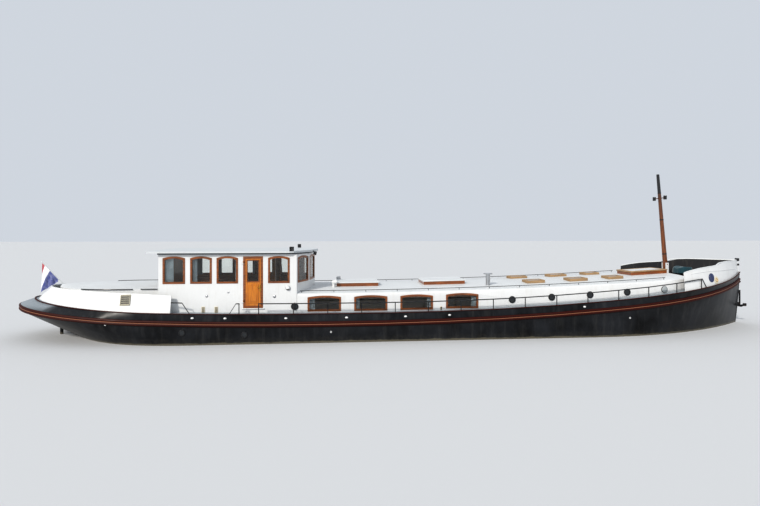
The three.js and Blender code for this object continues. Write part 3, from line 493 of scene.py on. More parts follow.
def dressed(node, name, finishes, angle=30, faces=()):
    """A merged and smoothly shaded copy of a CAD node that stands for it"""
    source = frame["nodes"][node]
    select_only(source)
    bpy.ops.object.duplicate()
    piece = added(name)
    body = piece["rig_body"]
    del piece["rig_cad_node"]
    piece.parent = None
    piece.matrix_world = Matrix.Identity(4)
    bpy.ops.object.mode_set(mode="EDIT")
    bpy.ops.mesh.select_all(action="SELECT")
    bpy.ops.mesh.remove_doubles(threshold=MERGE_REACH)
    leave_edit()
    # The loaded normals no longer fit once the loose triangles are merged
    bpy.ops.mesh.customdata_custom_splitnormals_clear()
    add_finish(piece, *finishes)
    for index, test in enumerate(faces, start=1):
        paint_faces(piece, index, test)
    select_only(piece)
    bpy.ops.object.shade_smooth_by_angle(angle=math.radians(angle))
    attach(piece, body)
    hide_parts(node)
    return piece


def swept(name, points, radius, body, finish):
    """A round bar along a line of points, finished later if it has no body"""
    clear_selection()
    bpy.ops.curve.primitive_nurbs_path_add()
    piece = added(name)
    curve = piece.data
    curve.bevel_depth = radius
    curve.bevel_resolution = 2
    curve.use_fill_caps = True
    line = curve.splines[0]
    line.type = "POLY"
    line.use_endpoint_u = False
    line.points.add(len(points) - len(line.points))
    for point, place in zip(line.points, points):
        point.co = (*place, 1)
    select_only(piece)
    bpy.ops.object.convert(target="MESH")
    piece = added(name)
    if body is None:
        return add_finish(piece, finish)
    return finish_piece(piece, body, finish)


# Shader building
class Tree:
    """Adds nodes to one material or group and joins them"""

    def __init__(self, tree):
        self.tree = tree

    def add(self, kind, inputs=None, output=0, **settings):
        node = self.tree.nodes.new(kind)
        for key, value in settings.items():
            setattr(node, key, value)
        for key, value in (inputs or {}).items():
            if isinstance(value, bpy.types.NodeSocket):
                self.tree.links.new(value, node.inputs[key])
            else:
                node.inputs[key].default_value = value
        return node if output is None else node.outputs[output]

    def math(self, operation, a, b=0.0, clamp=False):
        return self.add("ShaderNodeMath", {0: a, 1: b}, operation=operation, use_clamp=clamp)

    def mix(self, share, a, b):
        inputs = {0: share, 6: self.colour(a), 7: self.colour(b)}
        return self.add("ShaderNodeMix", inputs, output=2, data_type="RGBA")

    def colour(self, value):
        return value if isinstance(value, bpy.types.NodeSocket) else (*value[:3], 1.0)

    def spread(self, value, low, high, to_low=0.0, to_high=1.0):
        return self.add("ShaderNodeMapRange", {0: value, 1: low, 2: high, 3: to_low, 4: to_high})

    def noise(self, vector, scale, detail=3.0, roughness=0.55):
        inputs = {"Vector": vector, "Scale": scale, "Detail": detail, "Roughness": roughness}
        return self.add("ShaderNodeTexNoise", inputs)

    def stretch(self, vector, by):
        return self.add("ShaderNodeVectorMath", {0: vector, 1: by}, operation="MULTIPLY")

    def stood_up(self, vector):
        """Turns a pattern along X so that it runs upright"""
        inputs = {"Vector": vector, "Angle": math.pi / 2}
        return self.add("ShaderNodeVectorRotate", inputs, rotation_type="Y_AXIS")

    def place(self):
        """Object coordinates"""
        return self.add("ShaderNodeTexCoord", output="Object")

    def parts(self, vector):
        """The three parts of a vector"""
        return self.add("ShaderNodeSeparateXYZ", {0: vector}, output=None).outputs

    def group(self, name, inputs, output=0):
        return self.add("ShaderNodeGroup", inputs, output, node_tree=bpy.data.node_groups[name])

    def join(self, value, socket):
        self.tree.links.new(value, socket)


def new_group(name, inputs, outputs):
    """A shader node group with named sockets, and its input and output nodes"""
    group = bpy.data.node_groups.new(name, "ShaderNodeTree")
    for label, kind, default in inputs:
        socket = group.interface.new_socket(label, in_out="INPUT", socket_type=kind)
        if default is not None:
            socket.default_value = default
    for label, kind in outputs:
        group.interface.new_socket(label, in_out="OUTPUT", socket_type=kind)
    return Tree(group), group.nodes.new("NodeGroupInput"), group.nodes.new("NodeGroupOutput")


def build_groups():
    """Shared effects: wear and streaks, timber grain, plating and weave"""
    vector, number = "NodeSocketVector", "NodeSocketFloat"
    tree, start, end = new_group(
        "surface_wear",
        [("Vector", vector, None), ("Scale", number, 1.0), ("Streak", number, 1.0), ("Low", number, 0.45),
         ("High", number, 0.75)],
        [("Mask", number), ("Cloud", number)],
    )
    upright = tree.add("ShaderNodeCombineXYZ", {0: 1.0, 1: 1.0, 2: start.outputs["Streak"]})
    drawn = tree.stretch(start.outputs["Vector"], upright)
    cloud = tree.noise(drawn, start.outputs["Scale"], 5.0, 0.62)
    mask = tree.spread(cloud, start.outputs["Low"], start.outputs["High"])
    tree.join(mask, end.inputs["Mask"])
    tree.join(cloud, end.inputs["Cloud"])

    tree, start, end = new_group(
        "timber_grain", [("Vector", vector, None), ("Scale", number, 1.0)],
        [("Grain", number), ("Pores", number)],
    )
    along = tree.stretch(start.outputs["Vector"], (0.35, 6.0, 6.0))
    figure = tree.noise(along, start.outputs["Scale"], 4.0, 0.6)
    bands = tree.math("PINGPONG", tree.math("MULTIPLY", figure, 5.0), 0.5)
    grain = tree.spread(bands, 0.0, 0.5)
    fine = tree.stretch(start.outputs["Vector"], (3.0, 60.0, 60.0))
    pores = tree.noise(fine, start.outputs["Scale"], 2.0, 0.7)
    tree.join(grain, end.inputs["Grain"])
    tree.join(pores, end.inputs["Pores"])

    tree, start, end = new_group(
        "plating", [("Vector", vector, None), ("Pitch", number, 1.9)],
        [("Seam", number), ("Fairness", number)],
    )
    across = tree.math("DIVIDE", tree.parts(start.outputs["Vector"])[0], start.outputs["Pitch"])
    from_seam = tree.math("ABSOLUTE", tree.math("SUBTRACT", tree.math("FRACT", across), 0.5))
    seam = tree.spread(from_seam, 0.006, 0.0)
    waves = tree.stretch(start.outputs["Vector"], (0.8, 0.8, 1.4))
    fairness = tree.noise(waves, 1.6, 2.0, 0.4)
    tree.join(seam, end.inputs["Seam"])
    tree.join(fairness, end.inputs["Fairness"])

    tree, start, end = new_group(
        "weave", [("Vector", vector, None), ("Threads", number, 400.0)], [("Height", number)],
    )
    inputs = {"Vector": start.outputs["Vector"], "Scale": start.outputs["Threads"]}
    warp, weft = [
        tree.add("ShaderNodeTexWave", inputs, output=1, bands_direction=along) for along in ("X", "Z")
    ]
    tree.join(tree.math("MAXIMUM", warp, weft), end.inputs["Height"])


def new_material(
    name, colour, roughness, metallic=0.0, coat=0.0, coat_roughness=0.15, sheen=0.0, specular=0.5
):
    """A material with its plain values on the shader, and the tree to build on"""
    material = bpy.data.materials.new(name)
    material.use_nodes = True
    shader = material.node_tree.nodes["Principled BSDF"]
    shader.inputs["Base Color"].default_value = (*colour[:3], 1.0)
    shader.inputs["Roughness"].default_value = roughness
    shader.inputs["Metallic"].default_value = metallic
    shader.inputs["Coat Weight"].default_value = coat
    shader.inputs["Coat Roughness"].default_value = coat_roughness
    shader.inputs["Sheen Weight"].default_value = sheen
    shader.inputs["Specular IOR Level"].default_value = specular
    material.diffuse_color = (*colour[:3], 1.0)
    return Tree(material.node_tree), shader


def lay(tree, shader, colour=None, roughness=None, height=None, distance=0.002, strength=0.5):
    """Joins colour, roughness and bump to the shader"""
    if colour is not None:
        tree.join(colour, shader.inputs["Base Color"])
    if roughness is not None:
        tree.join(roughness, shader.inputs["Roughness"])
    if height is not None:
        inputs = {"Strength": strength, "Distance": distance, "Height": height}
        tree.join(tree.add("ShaderNodeBump", inputs), shader.inputs["Normal"])


def darker(colour, share):
    return tuple(v * share for v in colour[:3])


def toward(colour, other, share):
    return tuple(a + (b - a) * share for a, b in zip(colour[:3], other[:3]))


def painted(name, colour, grime, roughness=0.38, coat=0.25, amount=0.22, scale=1.3, specular=0.5):
    """Gloss paint with cloudy tone, streaks that run down, and slight brush marks"""
    tree, shader = new_material(name, colour, roughness, coat=coat, specular=specular)
    vector = tree.place()
    cloud = tree.group("surface_wear", {"Vector": vector, "Scale": scale, "Streak": 0.6}, output=1)
    streak = tree.group(
        "surface_wear", {"Vector": vector, "Scale": 7.0, "Streak": 0.12, "Low": 0.52, "High": 0.82}
    )
    tone = tree.mix(tree.spread(cloud, 0.3, 0.7), darker(colour, 0.93), colour)
    dirty = tree.mix(tree.math("MULTIPLY", streak, amount), tone, grime)
    rough = tree.spread(cloud, 0.25, 0.75, roughness - 0.06, roughness + 0.12)
    brush = tree.noise(tree.stretch(vector, (6.0, 6.0, 60.0)), 6.0, 2.0)
    lay(tree, shader, dirty, rough, brush, 0.0006, 0.25)


def build_hull_paint(colours):
    """Black topsides with streaks, a worn bow and scum at the waterline, red-brown below, grey decks"""
    tree, shader = new_material(
        "hull_black", colours.hull, 0.45, coat=0.04, coat_roughness=0.25, specular=0.22
    )
    vector = tree.place()
    x, _, z = tree.parts(vector)
    cloud = tree.group("surface_wear", {"Vector": vector, "Scale": 0.9, "Streak": 0.8}, output=1)
    streak = tree.group(
        "surface_wear", {"Vector": vector, "Scale": 5.0, "Streak": 0.14, "Low": 0.5, "High": 0.8}
    )
    faded = toward(colours.hull, (0.1, 0.11, 0.13), 0.25)
    colour = tree.mix(tree.spread(cloud, 0.35, 0.75), darker(colours.hull, 0.8), faded)
    colour = tree.mix(tree.math("MULTIPLY", streak, 0.16), colour, (0.16, 0.155, 0.145))
    ragged = tree.math("ADD", z, tree.math("MULTIPLY", tree.noise(vector, 3.0, 4.0), 0.09))
    low = tree.spread(ragged, WATER + 0.30, WATER + 0.05)
    film = tree.math("MULTIPLY", low, tree.spread(tree.noise(vector, 9.0, 4.0), 0.35, 0.7))
    colour = tree.mix(tree.math("MULTIPLY", film, 0.5), colour, (0.075, 0.068, 0.05))
    scum = tree.math("MULTIPLY", tree.spread(ragged, WATER + 0.125, WATER + 0.095), 0.75)
    colour = tree.mix(scum, colour, colours.scum)
    bow = tree.math("MULTIPLY", tree.spread(x, 11.6, 13.9), tree.spread(z, 2.35, 1.2))
    scuffs = tree.noise(tree.stretch(vector, (1.0, 1.0, 0.5)), 3.4, 5.0)
    worn = tree.math("MULTIPLY", bow, tree.spread(scuffs, 0.38, 0.62))
    colour = tree.mix(tree.math("MULTIPLY", worn, 0.55), colour, (0.21, 0.215, 0.215))
    colour = tree.mix(tree.spread(z, WATER + 0.004, WATER - 0.004), colour, colours.bottom)
    normal = tree.add("ShaderNodeNewGeometry", output="Normal")
    facing = tree.parts(normal)[2]
    top = tree.math("MULTIPLY", tree.spread(facing, 0.85, 0.95), tree.spread(z, 1.9, 2.0))
    colour = tree.mix(top, colour, colours.deck)
    seam = tree.group("plating", {"Vector": vector, "Pitch": 1.9})
    fairness = tree.group("plating", {"Vector": vector, "Pitch": 1.9}, output=1)
    height = tree.math("ADD", tree.math("MULTIPLY", seam, 0.2), tree.math("MULTIPLY", fairness, 4.0))
    dull = tree.math("MULTIPLY", worn, 0.3)
    rough = tree.math("ADD", tree.spread(cloud, 0.3, 0.7, 0.26, 0.42), dull, clamp=True)
    lay(tree, shader, colour, rough, height, 0.006, 0.6)


def build_timber(name, light, dark, coat=0.7, roughness=0.35, upright=False):
    """Varnished or bare timber with its grain along X, or upright"""
    tree, shader = new_material(name, light, roughness, coat=coat, coat_roughness=0.08)
    vector = tree.place()
    if upright:
        vector = tree.stood_up(vector)
    grain = tree.group("timber_grain", {"Vector": vector, "Scale": 3.0})
    pores = tree.group("timber_grain", {"Vector": vector, "Scale": 3.0}, output=1)
    patch = tree.group("surface_wear", {"Vector": vector, "Scale": 2.2, "Streak": 1.0}, output=1)
    colour = tree.mix(tree.spread(grain, 0.0, 1.0, 0.1, 0.9), dark, light)
    colour = tree.mix(tree.spread(patch, 0.4, 0.8, 0.0, 0.35), colour, darker(dark, 0.75))
    colour = tree.mix(tree.spread(pores, 0.62, 0.8, 0.0, 0.5), colour, darker(dark, 0.5))
    rough = tree.spread(pores, 0.3, 0.8, roughness - 0.05, roughness + 0.2)
    lay(tree, shader, colour, rough, pores, 0.0008, 0.35)


def build_glass(name, tint, roughness=0.03):
    """Clear glass with a faint ripple"""
    tree, shader = new_material(name, tint, roughness)
    shader.inputs["Transmission Weight"].default_value = 1.0
    shader.inputs["IOR"].default_value = 1.45
    vector = tree.place()
    ripple = tree.noise(tree.stretch(vector, (1.0, 1.0, 2.2)), 2.6, 1.0)
    lay(tree, shader, height=ripple, distance=0.001, strength=0.02)


def build_metal(name, colour, roughness, metallic=1.0, wear=(0.1, 0.06, 0.04), amount=0.2, scale=9.0):
    """Metal with blotches of tarnish, rust or dirt"""
    tree, shader = new_material(name, colour, roughness, metallic=metallic)
    vector = tree.place()
    spots = tree.group(
        "surface_wear", {"Vector": vector, "Scale": scale, "Streak": 0.7, "Low": 0.5, "High": 0.72}
    )
    cloud = tree.group("surface_wear", {"Vector": vector, "Scale": scale * 0.4, "Streak": 0.7}, output=1)
    tone = tree.mix(tree.spread(cloud, 0.3, 0.7), darker(colour, 0.8), colour)
    worn = tree.mix(tree.math("MULTIPLY", spots, amount), tone, wear)
    rough = tree.spread(cloud, 0.25, 0.75, max(roughness - 0.08, 0.05), roughness + 0.14)
    lay(tree, shader, worn, rough, tree.noise(vector, 60.0, 3.0), 0.0008, 0.3)


def build_cloth(name, colour, threads=260.0, sheen=0.3):
    """Woven cloth, with painted shade that darkens it a little between its threads"""
    tree, shader = new_material(name, colour, 0.85, sheen=sheen)
    vector = tree.place()
    height = tree.group("weave", {"Vector": vector, "Threads": threads})
    cloud = tree.noise(vector, 4.0, 4.0)
    tone = tree.mix(tree.spread(cloud, 0.3, 0.7), darker(colour, 0.78), colour)
    # Painted shade: darker where the weave is low, between the threads
    threads_with_painted_shade = tree.mix(tree.spread(height, 0.0, 1.0, 0.18, 0.0), tone, darker(colour, 0.55))
    lay(tree, shader, threads_with_painted_shade, None, height, 0.0006, 0.4)


def build_flag_cloth(colours):
    """Three stripes that lie aslant in the hanging cloth, from the sheet's own UV map"""
    tree, shader = new_material("flag_cloth", (0.85, 0.86, 0.88), 0.85, sheen=0.25)
    where = tree.add("ShaderNodeUVMap", uv_map="cloth")
    u, v, _ = tree.parts(where)
    down = tree.math("SUBTRACT", 1.0, v)
    aslant = tree.math("ADD", u, tree.math("MULTIPLY", down, 0.46))
    across = tree.math("ADD", tree.math("MULTIPLY", aslant, 1.077), 0.172)
    white = (0.84, 0.85, 0.88)
    colour = tree.mix(tree.spread(across, 0.330, 0.336), colours.flag_top, white)
    colour = tree.mix(tree.spread(across, 0.664, 0.670), colour, colours.flag_bottom)
    faded = tree.spread(tree.noise(where, 6.0, 3.0), 0.35, 0.7, 0.0, 0.25)
    colour = tree.mix(faded, colour, (0.7, 0.7, 0.73))
    height = tree.group("weave", {"Vector": where, "Threads": 90.0})
    lay(tree, shader, colour, None, height, 0.0005, 0.3)


def build_mast_timber(colours):
    """Varnish that turns black towards the masthead"""
    tree, shader = new_material("mast_timber", colours.varnish, 0.35, coat=0.6, coat_roughness=0.1)
    vector = tree.place()
    z = tree.parts(vector)[2]
    upright = tree.stood_up(vector)
    grain = tree.group("timber_grain", {"Vector": upright, "Scale": 2.4})
    pores = tree.group("timber_grain", {"Vector": upright, "Scale": 2.4}, output=1)
    brown = tree.mix(grain, darker(colours.grain, 0.7), toward(colours.grain, colours.varnish, 0.45))
    aged = tree.mix(tree.spread(z, 4.6, 6.3, 0.0, 0.65), brown, (0.05, 0.02, 0.012))
    tarred = tree.mix(tree.spread(z, 6.42, 6.46), aged, (0.012, 0.012, 0.014))
    lay(tree, shader, tarred, tree.spread(pores, 0.3, 0.8, 0.3, 0.5), pores, 0.0008, 0.3)


class BARGE_OT_finishes(bpy.types.Operator):
    """Make the paints, timbers, metals, glass and cloths"""
    bl_idname = "barge.finishes"
    bl_label = "Finishes"

    def execute(self, context):
        colours = context.scene.barge_colours
        grime = (0.42, 0.38, 0.30)
        build_groups()
        build_hull_paint(colours)
        matt = {"roughness": 0.5, "coat": 0.0, "amount": 0.3, "specular": 0.2}
        painted("rail_red", colours.red, (0.05, 0.03, 0.025), **matt)
        painted("line_cream", colours.line, (0.3, 0.22, 0.15), **matt)
        painted("cabin_white", colours.white, grime, roughness=0.34, coat=0.3, amount=0.2)
        off_white = toward(colours.white, colours.roof, 0.5)
        painted("roof_white", off_white, grime, roughness=0.5, coat=0.1, amount=0.15)
        painted("roof_coating", colours.roof, grime, roughness=0.5, coat=0.1, amount=0.2)
        rust = (0.2, 0.12, 0.08)
        painted("rail_grey", colours.rail, rust, roughness=0.45, coat=0.1, amount=0.3, scale=6.0)
        oil, dust = (0.02, 0.02, 0.02), (0.06, 0.05, 0.045)
        painted("machine_green", (0.07, 0.16, 0.11), oil, roughness=0.45, amount=0.5, scale=5.0)
        painted("black_gloss", (0.012, 0.012, 0.014), dust, roughness=0.3, amount=0.2, scale=6.0)
        painted("trim_cream", (0.72, 0.66, 0.52), grime, roughness=0.5, amount=0.3, scale=5.0)
        painted("bulwark_inside", (0.03, 0.03, 0.033), grime, roughness=0.55, coat=0.1, amount=0.15)
        painted("slat_beige", (0.52, 0.49, 0.40), grime, roughness=0.5, amount=0.3, scale=5.0)
        painted("lining_cream", (0.62, 0.52, 0.38), grime, roughness=0.5, amount=0.2)
        painted("cover_grey", (0.42, 0.45, 0.46), grime, roughness=0.45, amount=0.2, scale=5.0)
        # Near-black grey for the collar and underside of the wheelhouse roof: painted shadow under the
        # roof's edge
        painted("shadow_grey", (0.035, 0.045, 0.055), grime, roughness=0.5, amount=0.1)
        painted("frame_beige", (0.42, 0.39, 0.31), grime, roughness=0.5, amount=0.3, scale=5.0)
        painted("trim_blue", (0.02, 0.035, 0.12), grime, roughness=0.4, amount=0.15, scale=5.0)
        build_timber("varnish", colours.varnish, colours.grain)
        build_timber("frame_timber", colours.frame_light, colours.frame_dark, coat=0.4)
        build_timber("varnish_upright", colours.door_light, colours.door_dark, upright=True)
        pale = toward(colours.varnish, (0.6, 0.35, 0.15), 0.4)
        build_timber("panel_timber", pale, colours.grain, coat=0.3)
        build_timber("bare_timber", colours.bare, darker(colours.bare, 0.6), coat=0.0, roughness=0.7)
        build_mast_timber(colours)
        build_glass("pane_glass", (0.93, 0.95, 0.93))
        build_glass("lamp_glass", (0.9, 0.9, 0.88), roughness=0.15)
        # Opaque near-black glass for the portholes and skylights: painted shade standing for the unlit
        # rooms behind them; its gloss coat gives real reflections
        tree, shader = new_material("dark_glass", (0.012, 0.016, 0.02), 0.05, coat=0.6)
        vector = tree.place()
        lay(tree, shader, height=tree.noise(vector, 3.0, 1.0), distance=0.004, strength=0.15)
        build_metal("ironwork", colours.iron, 0.55, metallic=0.5, wear=(0.16, 0.07, 0.035), amount=0.35)
        build_metal("stainless", (0.62, 0.63, 0.64), 0.28, wear=(0.3, 0.28, 0.25), amount=0.15)
        build_metal("brass", colours.brass, 0.25, wear=(0.25, 0.16, 0.06), amount=0.3)
        verdigris = (0.05, 0.16, 0.12)
        build_metal("bronze_cast", (0.52, 0.30, 0.12), 0.35, wear=verdigris, amount=0.35, scale=5.0)
        build_cloth("teal_cloth", colours.teal)
        build_cloth("curtain_cloth", colours.curtain, threads=200.0, sheen=0.2)
        build_flag_cloth(colours)
        return {"FINISHED"}


def facing_in(face):
    """True for faces that look at the middle of the wheelhouse"""
    away = Vector(face.center) - HOUSE_MIDDLE
    away.z = 0
    flat = Vector((face.normal.x, face.normal.y, 0))
    return flat.length > 0.5 and flat.normalized().dot(away.normalized()) < -0.35


# Facets of the wheelhouse front: a point on each and its outward direction
HOUSE_CORNERS = [(-4.010, CABIN_HALF), (-3.630, 1.000), (-3.460, 0.000)]
FACETS = [
    (Vector((xa + SHIFT, ya * side, 0)), Vector((ya - yb, (xb - xa) * side, 0)).normalized())
    for (xa, ya), (xb, yb) in zip(HOUSE_CORNERS, HOUSE_CORNERS[1:]) for side, _ in SIDES
]


def is_front_pane(face):
    for point, out in FACETS:
        offset = Vector(face.center) - point
        along = abs(Vector(face.normal).dot(out))
        near = abs(offset.dot(Vector((-out.y, out.x, 0)))) < 1.2
        if along > 0.97 and near and abs(offset.dot(out) + WALL / 2) < PANE_REACH:
            return True
    return False


def is_side_pane(wall):
    return lambda f: abs(f.normal.y) > 0.95 and abs(abs(f.center.y) - CABIN_HALF + wall / 2) < PANE_REACH


def is_aft_pane(face):
    return abs(face.normal.x) > 0.95 and abs(face.center.x - HOUSE_AFT - WALL / 2) < PANE_REACH


def is_lining(face):
    """Whether a face of the hull belongs to the walls or the floor of its cabins"""
    inward = face.normal.y * face.center.y < -0.3
    bulkhead = abs(face.normal.x) > 0.95 and abs(face.center.x) < 11.5
    return inward or bulkhead or (face.normal.z > 0.9 and face.center.z < 1.5)


def is_line(face):
    return abs(face.center.z - rub_height(face.center.x)) < 0.017 and abs(face.normal.z) < 0.3


def is_roof(face):
    return face.normal.z > 0.5


def under_fascia(face):
    """True for the collar and the underside of the wheelhouse roof, which take a near-black grey as
    painted shadow
    """
    return face.center.z < FASCIA_BOTTOM + 0.001


def looks_inboard(face):
    """True for the faces of the bow bulwark that look at the foredeck"""
    outward = face.normal.y * face.center.y + face.normal.x * (face.center.x - 11.0)
    return outward < -0.02 and face.normal.z < 0.5


class BARGE_OT_hull(bpy.types.Operator):
    """Carry over the hull, its rub rails, the deck edge and the bulwarks"""
    bl_idname = "barge.hull"
    bl_label = "Hull"

    def execute(self, context):
        dressed("hull", "hull_plating", ["hull_black", "lining_cream"], 28, [is_lining])
        dressed("rub_rails", "rub_rail_mouldings", ["rail_red", "line_cream"], 50, [is_line])
        dressed("deck_edge_moulding", "deck_edge_bead", ["rail_red"], 60)
        dressed("aft_bulwark", "aft_bulwark_plating", ["cabin_white"], 35)
        finishes = ["cabin_white", "bulwark_inside"]
        dressed("bow_bulwark", "bow_bulwark_plating", finishes, 35, [looks_inboard])
        return {"FINISHED"}


CABIN_TOPS = (
    "coachroof_port", "coachroof_starboard", "coachroof_front", "roof_panel_aft", "roof_panel_middle",
    "roof_panel_fore", "aft_cabin",
)


class BARGE_OT_cabins(bpy.types.Operator):
    """Carry over the coachroof, the wheelhouse and the aft cabin"""
    bl_idname = "barge.cabins"
    bl_label = "Cabins"

    def execute(self, context):
        for part in CABIN_TOPS:
            dressed(part, f"{part}_plating", ["cabin_white", "roof_white"], 28, [is_roof])
        dressed("wheelhouse_walls", "wheelhouse_panels", ["cabin_white", "panel_timber"], 28, [facing_in])
        # The roof's collar and underside are painted dark grey: painted shadow under the fascia
        finishes = ["roof_coating", "shadow_grey"]
        dressed("wheelhouse_roof", "wheelhouse_roof_deck", finishes, 20, [under_fascia])
        dressed("wheelhouse_sole", "wheelhouse_floor", ["panel_timber"], 20)
        for side in ("port", "starboard"):
            self.glazing("saloon", side, is_side_pane(COACH_WALL))
            self.glazing("wheelhouse", side, is_side_pane(WALL))
            dressed(f"door_{side}", f"door_leaf_{side}", ["varnish_upright"], 25)
            dressed(f"door_glass_{side}", f"door_pane_{side}", ["pane_glass"], 25)
        self.glazing("wheelhouse", "front", is_front_pane)
        self.glazing("wheelhouse", "aft", is_aft_pane)
        return {"FINISHED"}

    def glazing(self, room, side, is_pane):
        """Timber window frames and their panes"""
        finishes = ["frame_timber", "pane_glass"]
        dressed(f"{room}_windows_{side}", f"{room}_glazing_{side}", finishes, 25, [is_pane])


class BARGE_OT_fitted_pieces(bpy.types.Operator):
    """Carry over the rails, hatches, mast, ironwork and drive"""
    bl_idname = "barge.fitted_pieces"
    bl_label = "Rails, hatches and gear"

    def execute(self, context):
        for side in ("port", "starboard"):
            for run in ("long", "gate", "aft"):
                dressed(f"railing_{run}_{side}", f"side_rail_{run}_{side}", ["rail_grey"], 65)
            dressed(f"grab_rail_{side}", f"roof_rail_{side}", ["rail_grey"], 65)
            dressed(f"cowl_vent_{side}", f"cowl_{side}", ["cabin_white"], 40)
            for end in ("bow", "stern"):
                dressed(f"bollard_{end}_{side}", f"bitts_{end}_{side}", ["black_gloss"], 35)
        for hatch in ("saloon_hatch_aft", "saloon_hatch_fore", "fore_hatch"):
            dressed(f"{hatch}_coaming", f"{hatch}_frame", ["varnish"], 30)
        dressed("tabernacle", "mast_case", ["cabin_white"], 30)
        dressed("mast", "mast_spar", ["mast_timber"], 40)
        dressed("stove_flue", "flue_pipe", ["stainless"], 40)
        dressed("windlass", "windlass_frame", ["ironwork"], 35)
        dressed("anchor", "anchor_body", ["ironwork"], 35)
        dressed("flagstaff", "ensign_staff", ["roof_white"], 50)
        dressed("engine", "engine_block", ["machine_green"], 30)
        dressed("propeller", "screw", ["bronze_cast"], 35)
        dressed("rudder", "rudder_blade", ["hull_black"], 35)
        dressed("helm_console", "helm_stand", ["panel_timber"], 30)
        dressed("steering_wheel", "helm_wheel", ["varnish"], 50)
        return {"FINISHED"}


# Hatch lids: node, width of the border round the sunk middle, finish of the border
LIDS = (
    ("saloon_hatch_aft", 0.05, "roof_white"), ("saloon_hatch_fore", 0.05, "roof_white"),
    ("fore_hatch", 0.12, "bare_timber"),
)
# Skylights: aft and fore end of each, and how far out from the centre line they lie
SKYLIGHTS = ((4.55, 5.20), (6.22, 6.89), (7.76, 8.315))
SKYLIGHT_OUT = 0.88


class BARGE_OT_lids(bpy.types.Operator):
    """Hatch lids with a sunk middle, and the skylights' timber frames and glass"""
    bl_idname = "barge.lids"
    bl_label = "Hatch lids and skylights"

    def execute(self, context):
        for hatch, border, finish in LIDS:
            lid = dressed(f"{hatch}_lid", f"{hatch}_cover", [finish, "roof_white"], 30)
            pick_faces(lid, lambda f: True)
            bpy.ops.mesh.tris_convert_to_quads()
            leave_edit()
            round_edges(lid, 0.008)
            inset_panel(lid, top_face(0.5, slant=0.95), border, -0.006)
            paint_faces(lid, 1, top_face(0.4, slant=0.95))
            select_only(lid)
            bpy.ops.object.shade_smooth_by_angle(angle=math.radians(30))
        for number, (aft, fore) in enumerate(SKYLIGHTS, start=1):
            self.skylight_pair(number, aft + SHIFT, fore + SHIFT)
        return {"FINISHED"}

    def skylight_pair(self, number, aft, fore):
        middle = (aft + fore) / 2
        slope = math.atan2(roof_edge(fore) - roof_edge(aft), fore - aft)
        top = roof_edge(middle) + ROOF_CAMBER
        half_long, half_wide = (fore - aft) / 2 + 0.02, 0.28
        starboard = block("skylight", (-half_long, -half_wide, -0.045), (half_long, half_wide, 0.076))
        round_edges(starboard, 0.006)
        add_finish(starboard, "bare_timber", "dark_glass")
        inset_panel(starboard, top_face(0.1), 0.06, -0.012)
        # The skylight's sunk top is its glass, painted near black as shade of the room below
        paint_faces(starboard, 1, top_face(0.1, below=0.07))
        place = Matrix.Translation((middle, -SKYLIGHT_OUT, top))
        starboard.matrix_world = place @ Matrix.Rotation(-slope, 4, "Y")
        fix_place(starboard)
        port = mirrored(starboard, f"skylight_{number}_port")
        starboard.name = f"skylight_{number}_starboard"
        for piece in (starboard, port):
            finish_piece(piece, "boat", ["bare_timber", "dark_glass"])


# Portholes: place along the boat and height over the waterline
CABIN_PORTHOLES = ((-4.08, 1.18), (3.63, 1.32), (5.10, 1.39), (6.55, 1.46), (7.97, 1.54), (9.45, 1.62))
HULL_PORTHOLES = ((-7.72, 0.42), (-5.70, 0.32))


class BARGE_OT_portholes(bpy.types.Operator):
    """Round portlights in the cabin's and the hull's sides, and the cover on the foremost"""
    bl_idname = "barge.portholes"
    bl_label = "Portholes"

    def execute(self, context):
        radius = context.scene.barge_sizes.porthole
        for side, word in SIDES:
            spots = [self.cabin_spot(x + SHIFT, z + WATER, side) for x, z in CABIN_PORTHOLES]
            self.fit(f"portholes_cabin_{word}", radius, spots)
            cover = put(dome("lid", radius * 0.96, (1, 1, 0.18), 0.022, 28, 8), *spots[-1])
            finish_piece(joined(f"porthole_cover_{word}", cover), "boat", "cover_grey")
            spots = [self.hull_spot(x + SHIFT, z + WATER, side) for x, z in HULL_PORTHOLES]
            self.fit(f"portholes_hull_{word}", radius * 0.85, spots)
        return {"FINISHED"}

    def cabin_spot(self, x, z, side):
        """A point on the cabin's side and the direction that it faces"""
        out = Vector((coach_half(x - 0.1) - coach_half(x + 0.1), 0.2 * side, 0))
        return Vector((x, side * (coach_half(x) + 0.001), z)), out

    def hull_spot(self, x, z, side):
        return Vector((x, side * (skin_half(x, z) + 0.001), z)), (0, side, 0)

    def fit(self, name, radius, spots):
        piece = joined(name, *[put(self.light(radius), at, out) for at, out in spots])
        finish_piece(piece, "boat", ["brass", "dark_glass", "black_gloss"])

    def light(self, radius):
        """A rim, a hinged ring inside it and a recessed pane, facing +Z"""
        piece = disc("light", radius, 0.030, 28, 0.010)
        add_finish(piece, "brass", "dark_glass", "black_gloss")
        round_edges(piece, 0.006, 60)
        inset_panel(piece, top_face(0.01), radius * 0.16, -0.006)
        inset_panel(piece, top_face(0.008, below=0.022), radius * 0.05, -0.007)
        paint_faces(piece, 2, lambda f: True)
        # The porthole's top faces take the near-black glass, painted shade of the cabin behind
        paint_faces(piece, 1, top_face(0.008))
        return piece


# Scuppers: place along the boat; outlets: place and height over the waterline
SCUPPERS = (-7.389, -6.335, -4.341, -2.308, -0.288, 1.248, 6.123)
OUTLETS = ((-10.157, 0.719), (-2.834, 0.364), (7.821, 0.668))
# Louvre in the aft bulwark: its aft and fore end, and its foot and head over the waterline
LOUVRE = (-9.79, -9.45, 1.30, 1.66)
# Discs of the bow's ornament: name, place, height, radius, thickness and finish
BOW_DISCS = (
    ("blue", 11.50, 3.110, 0.170, 0.008, "trim_blue"),
    ("cream", 11.78, 3.010, 0.140, 0.012, "trim_cream"),
)
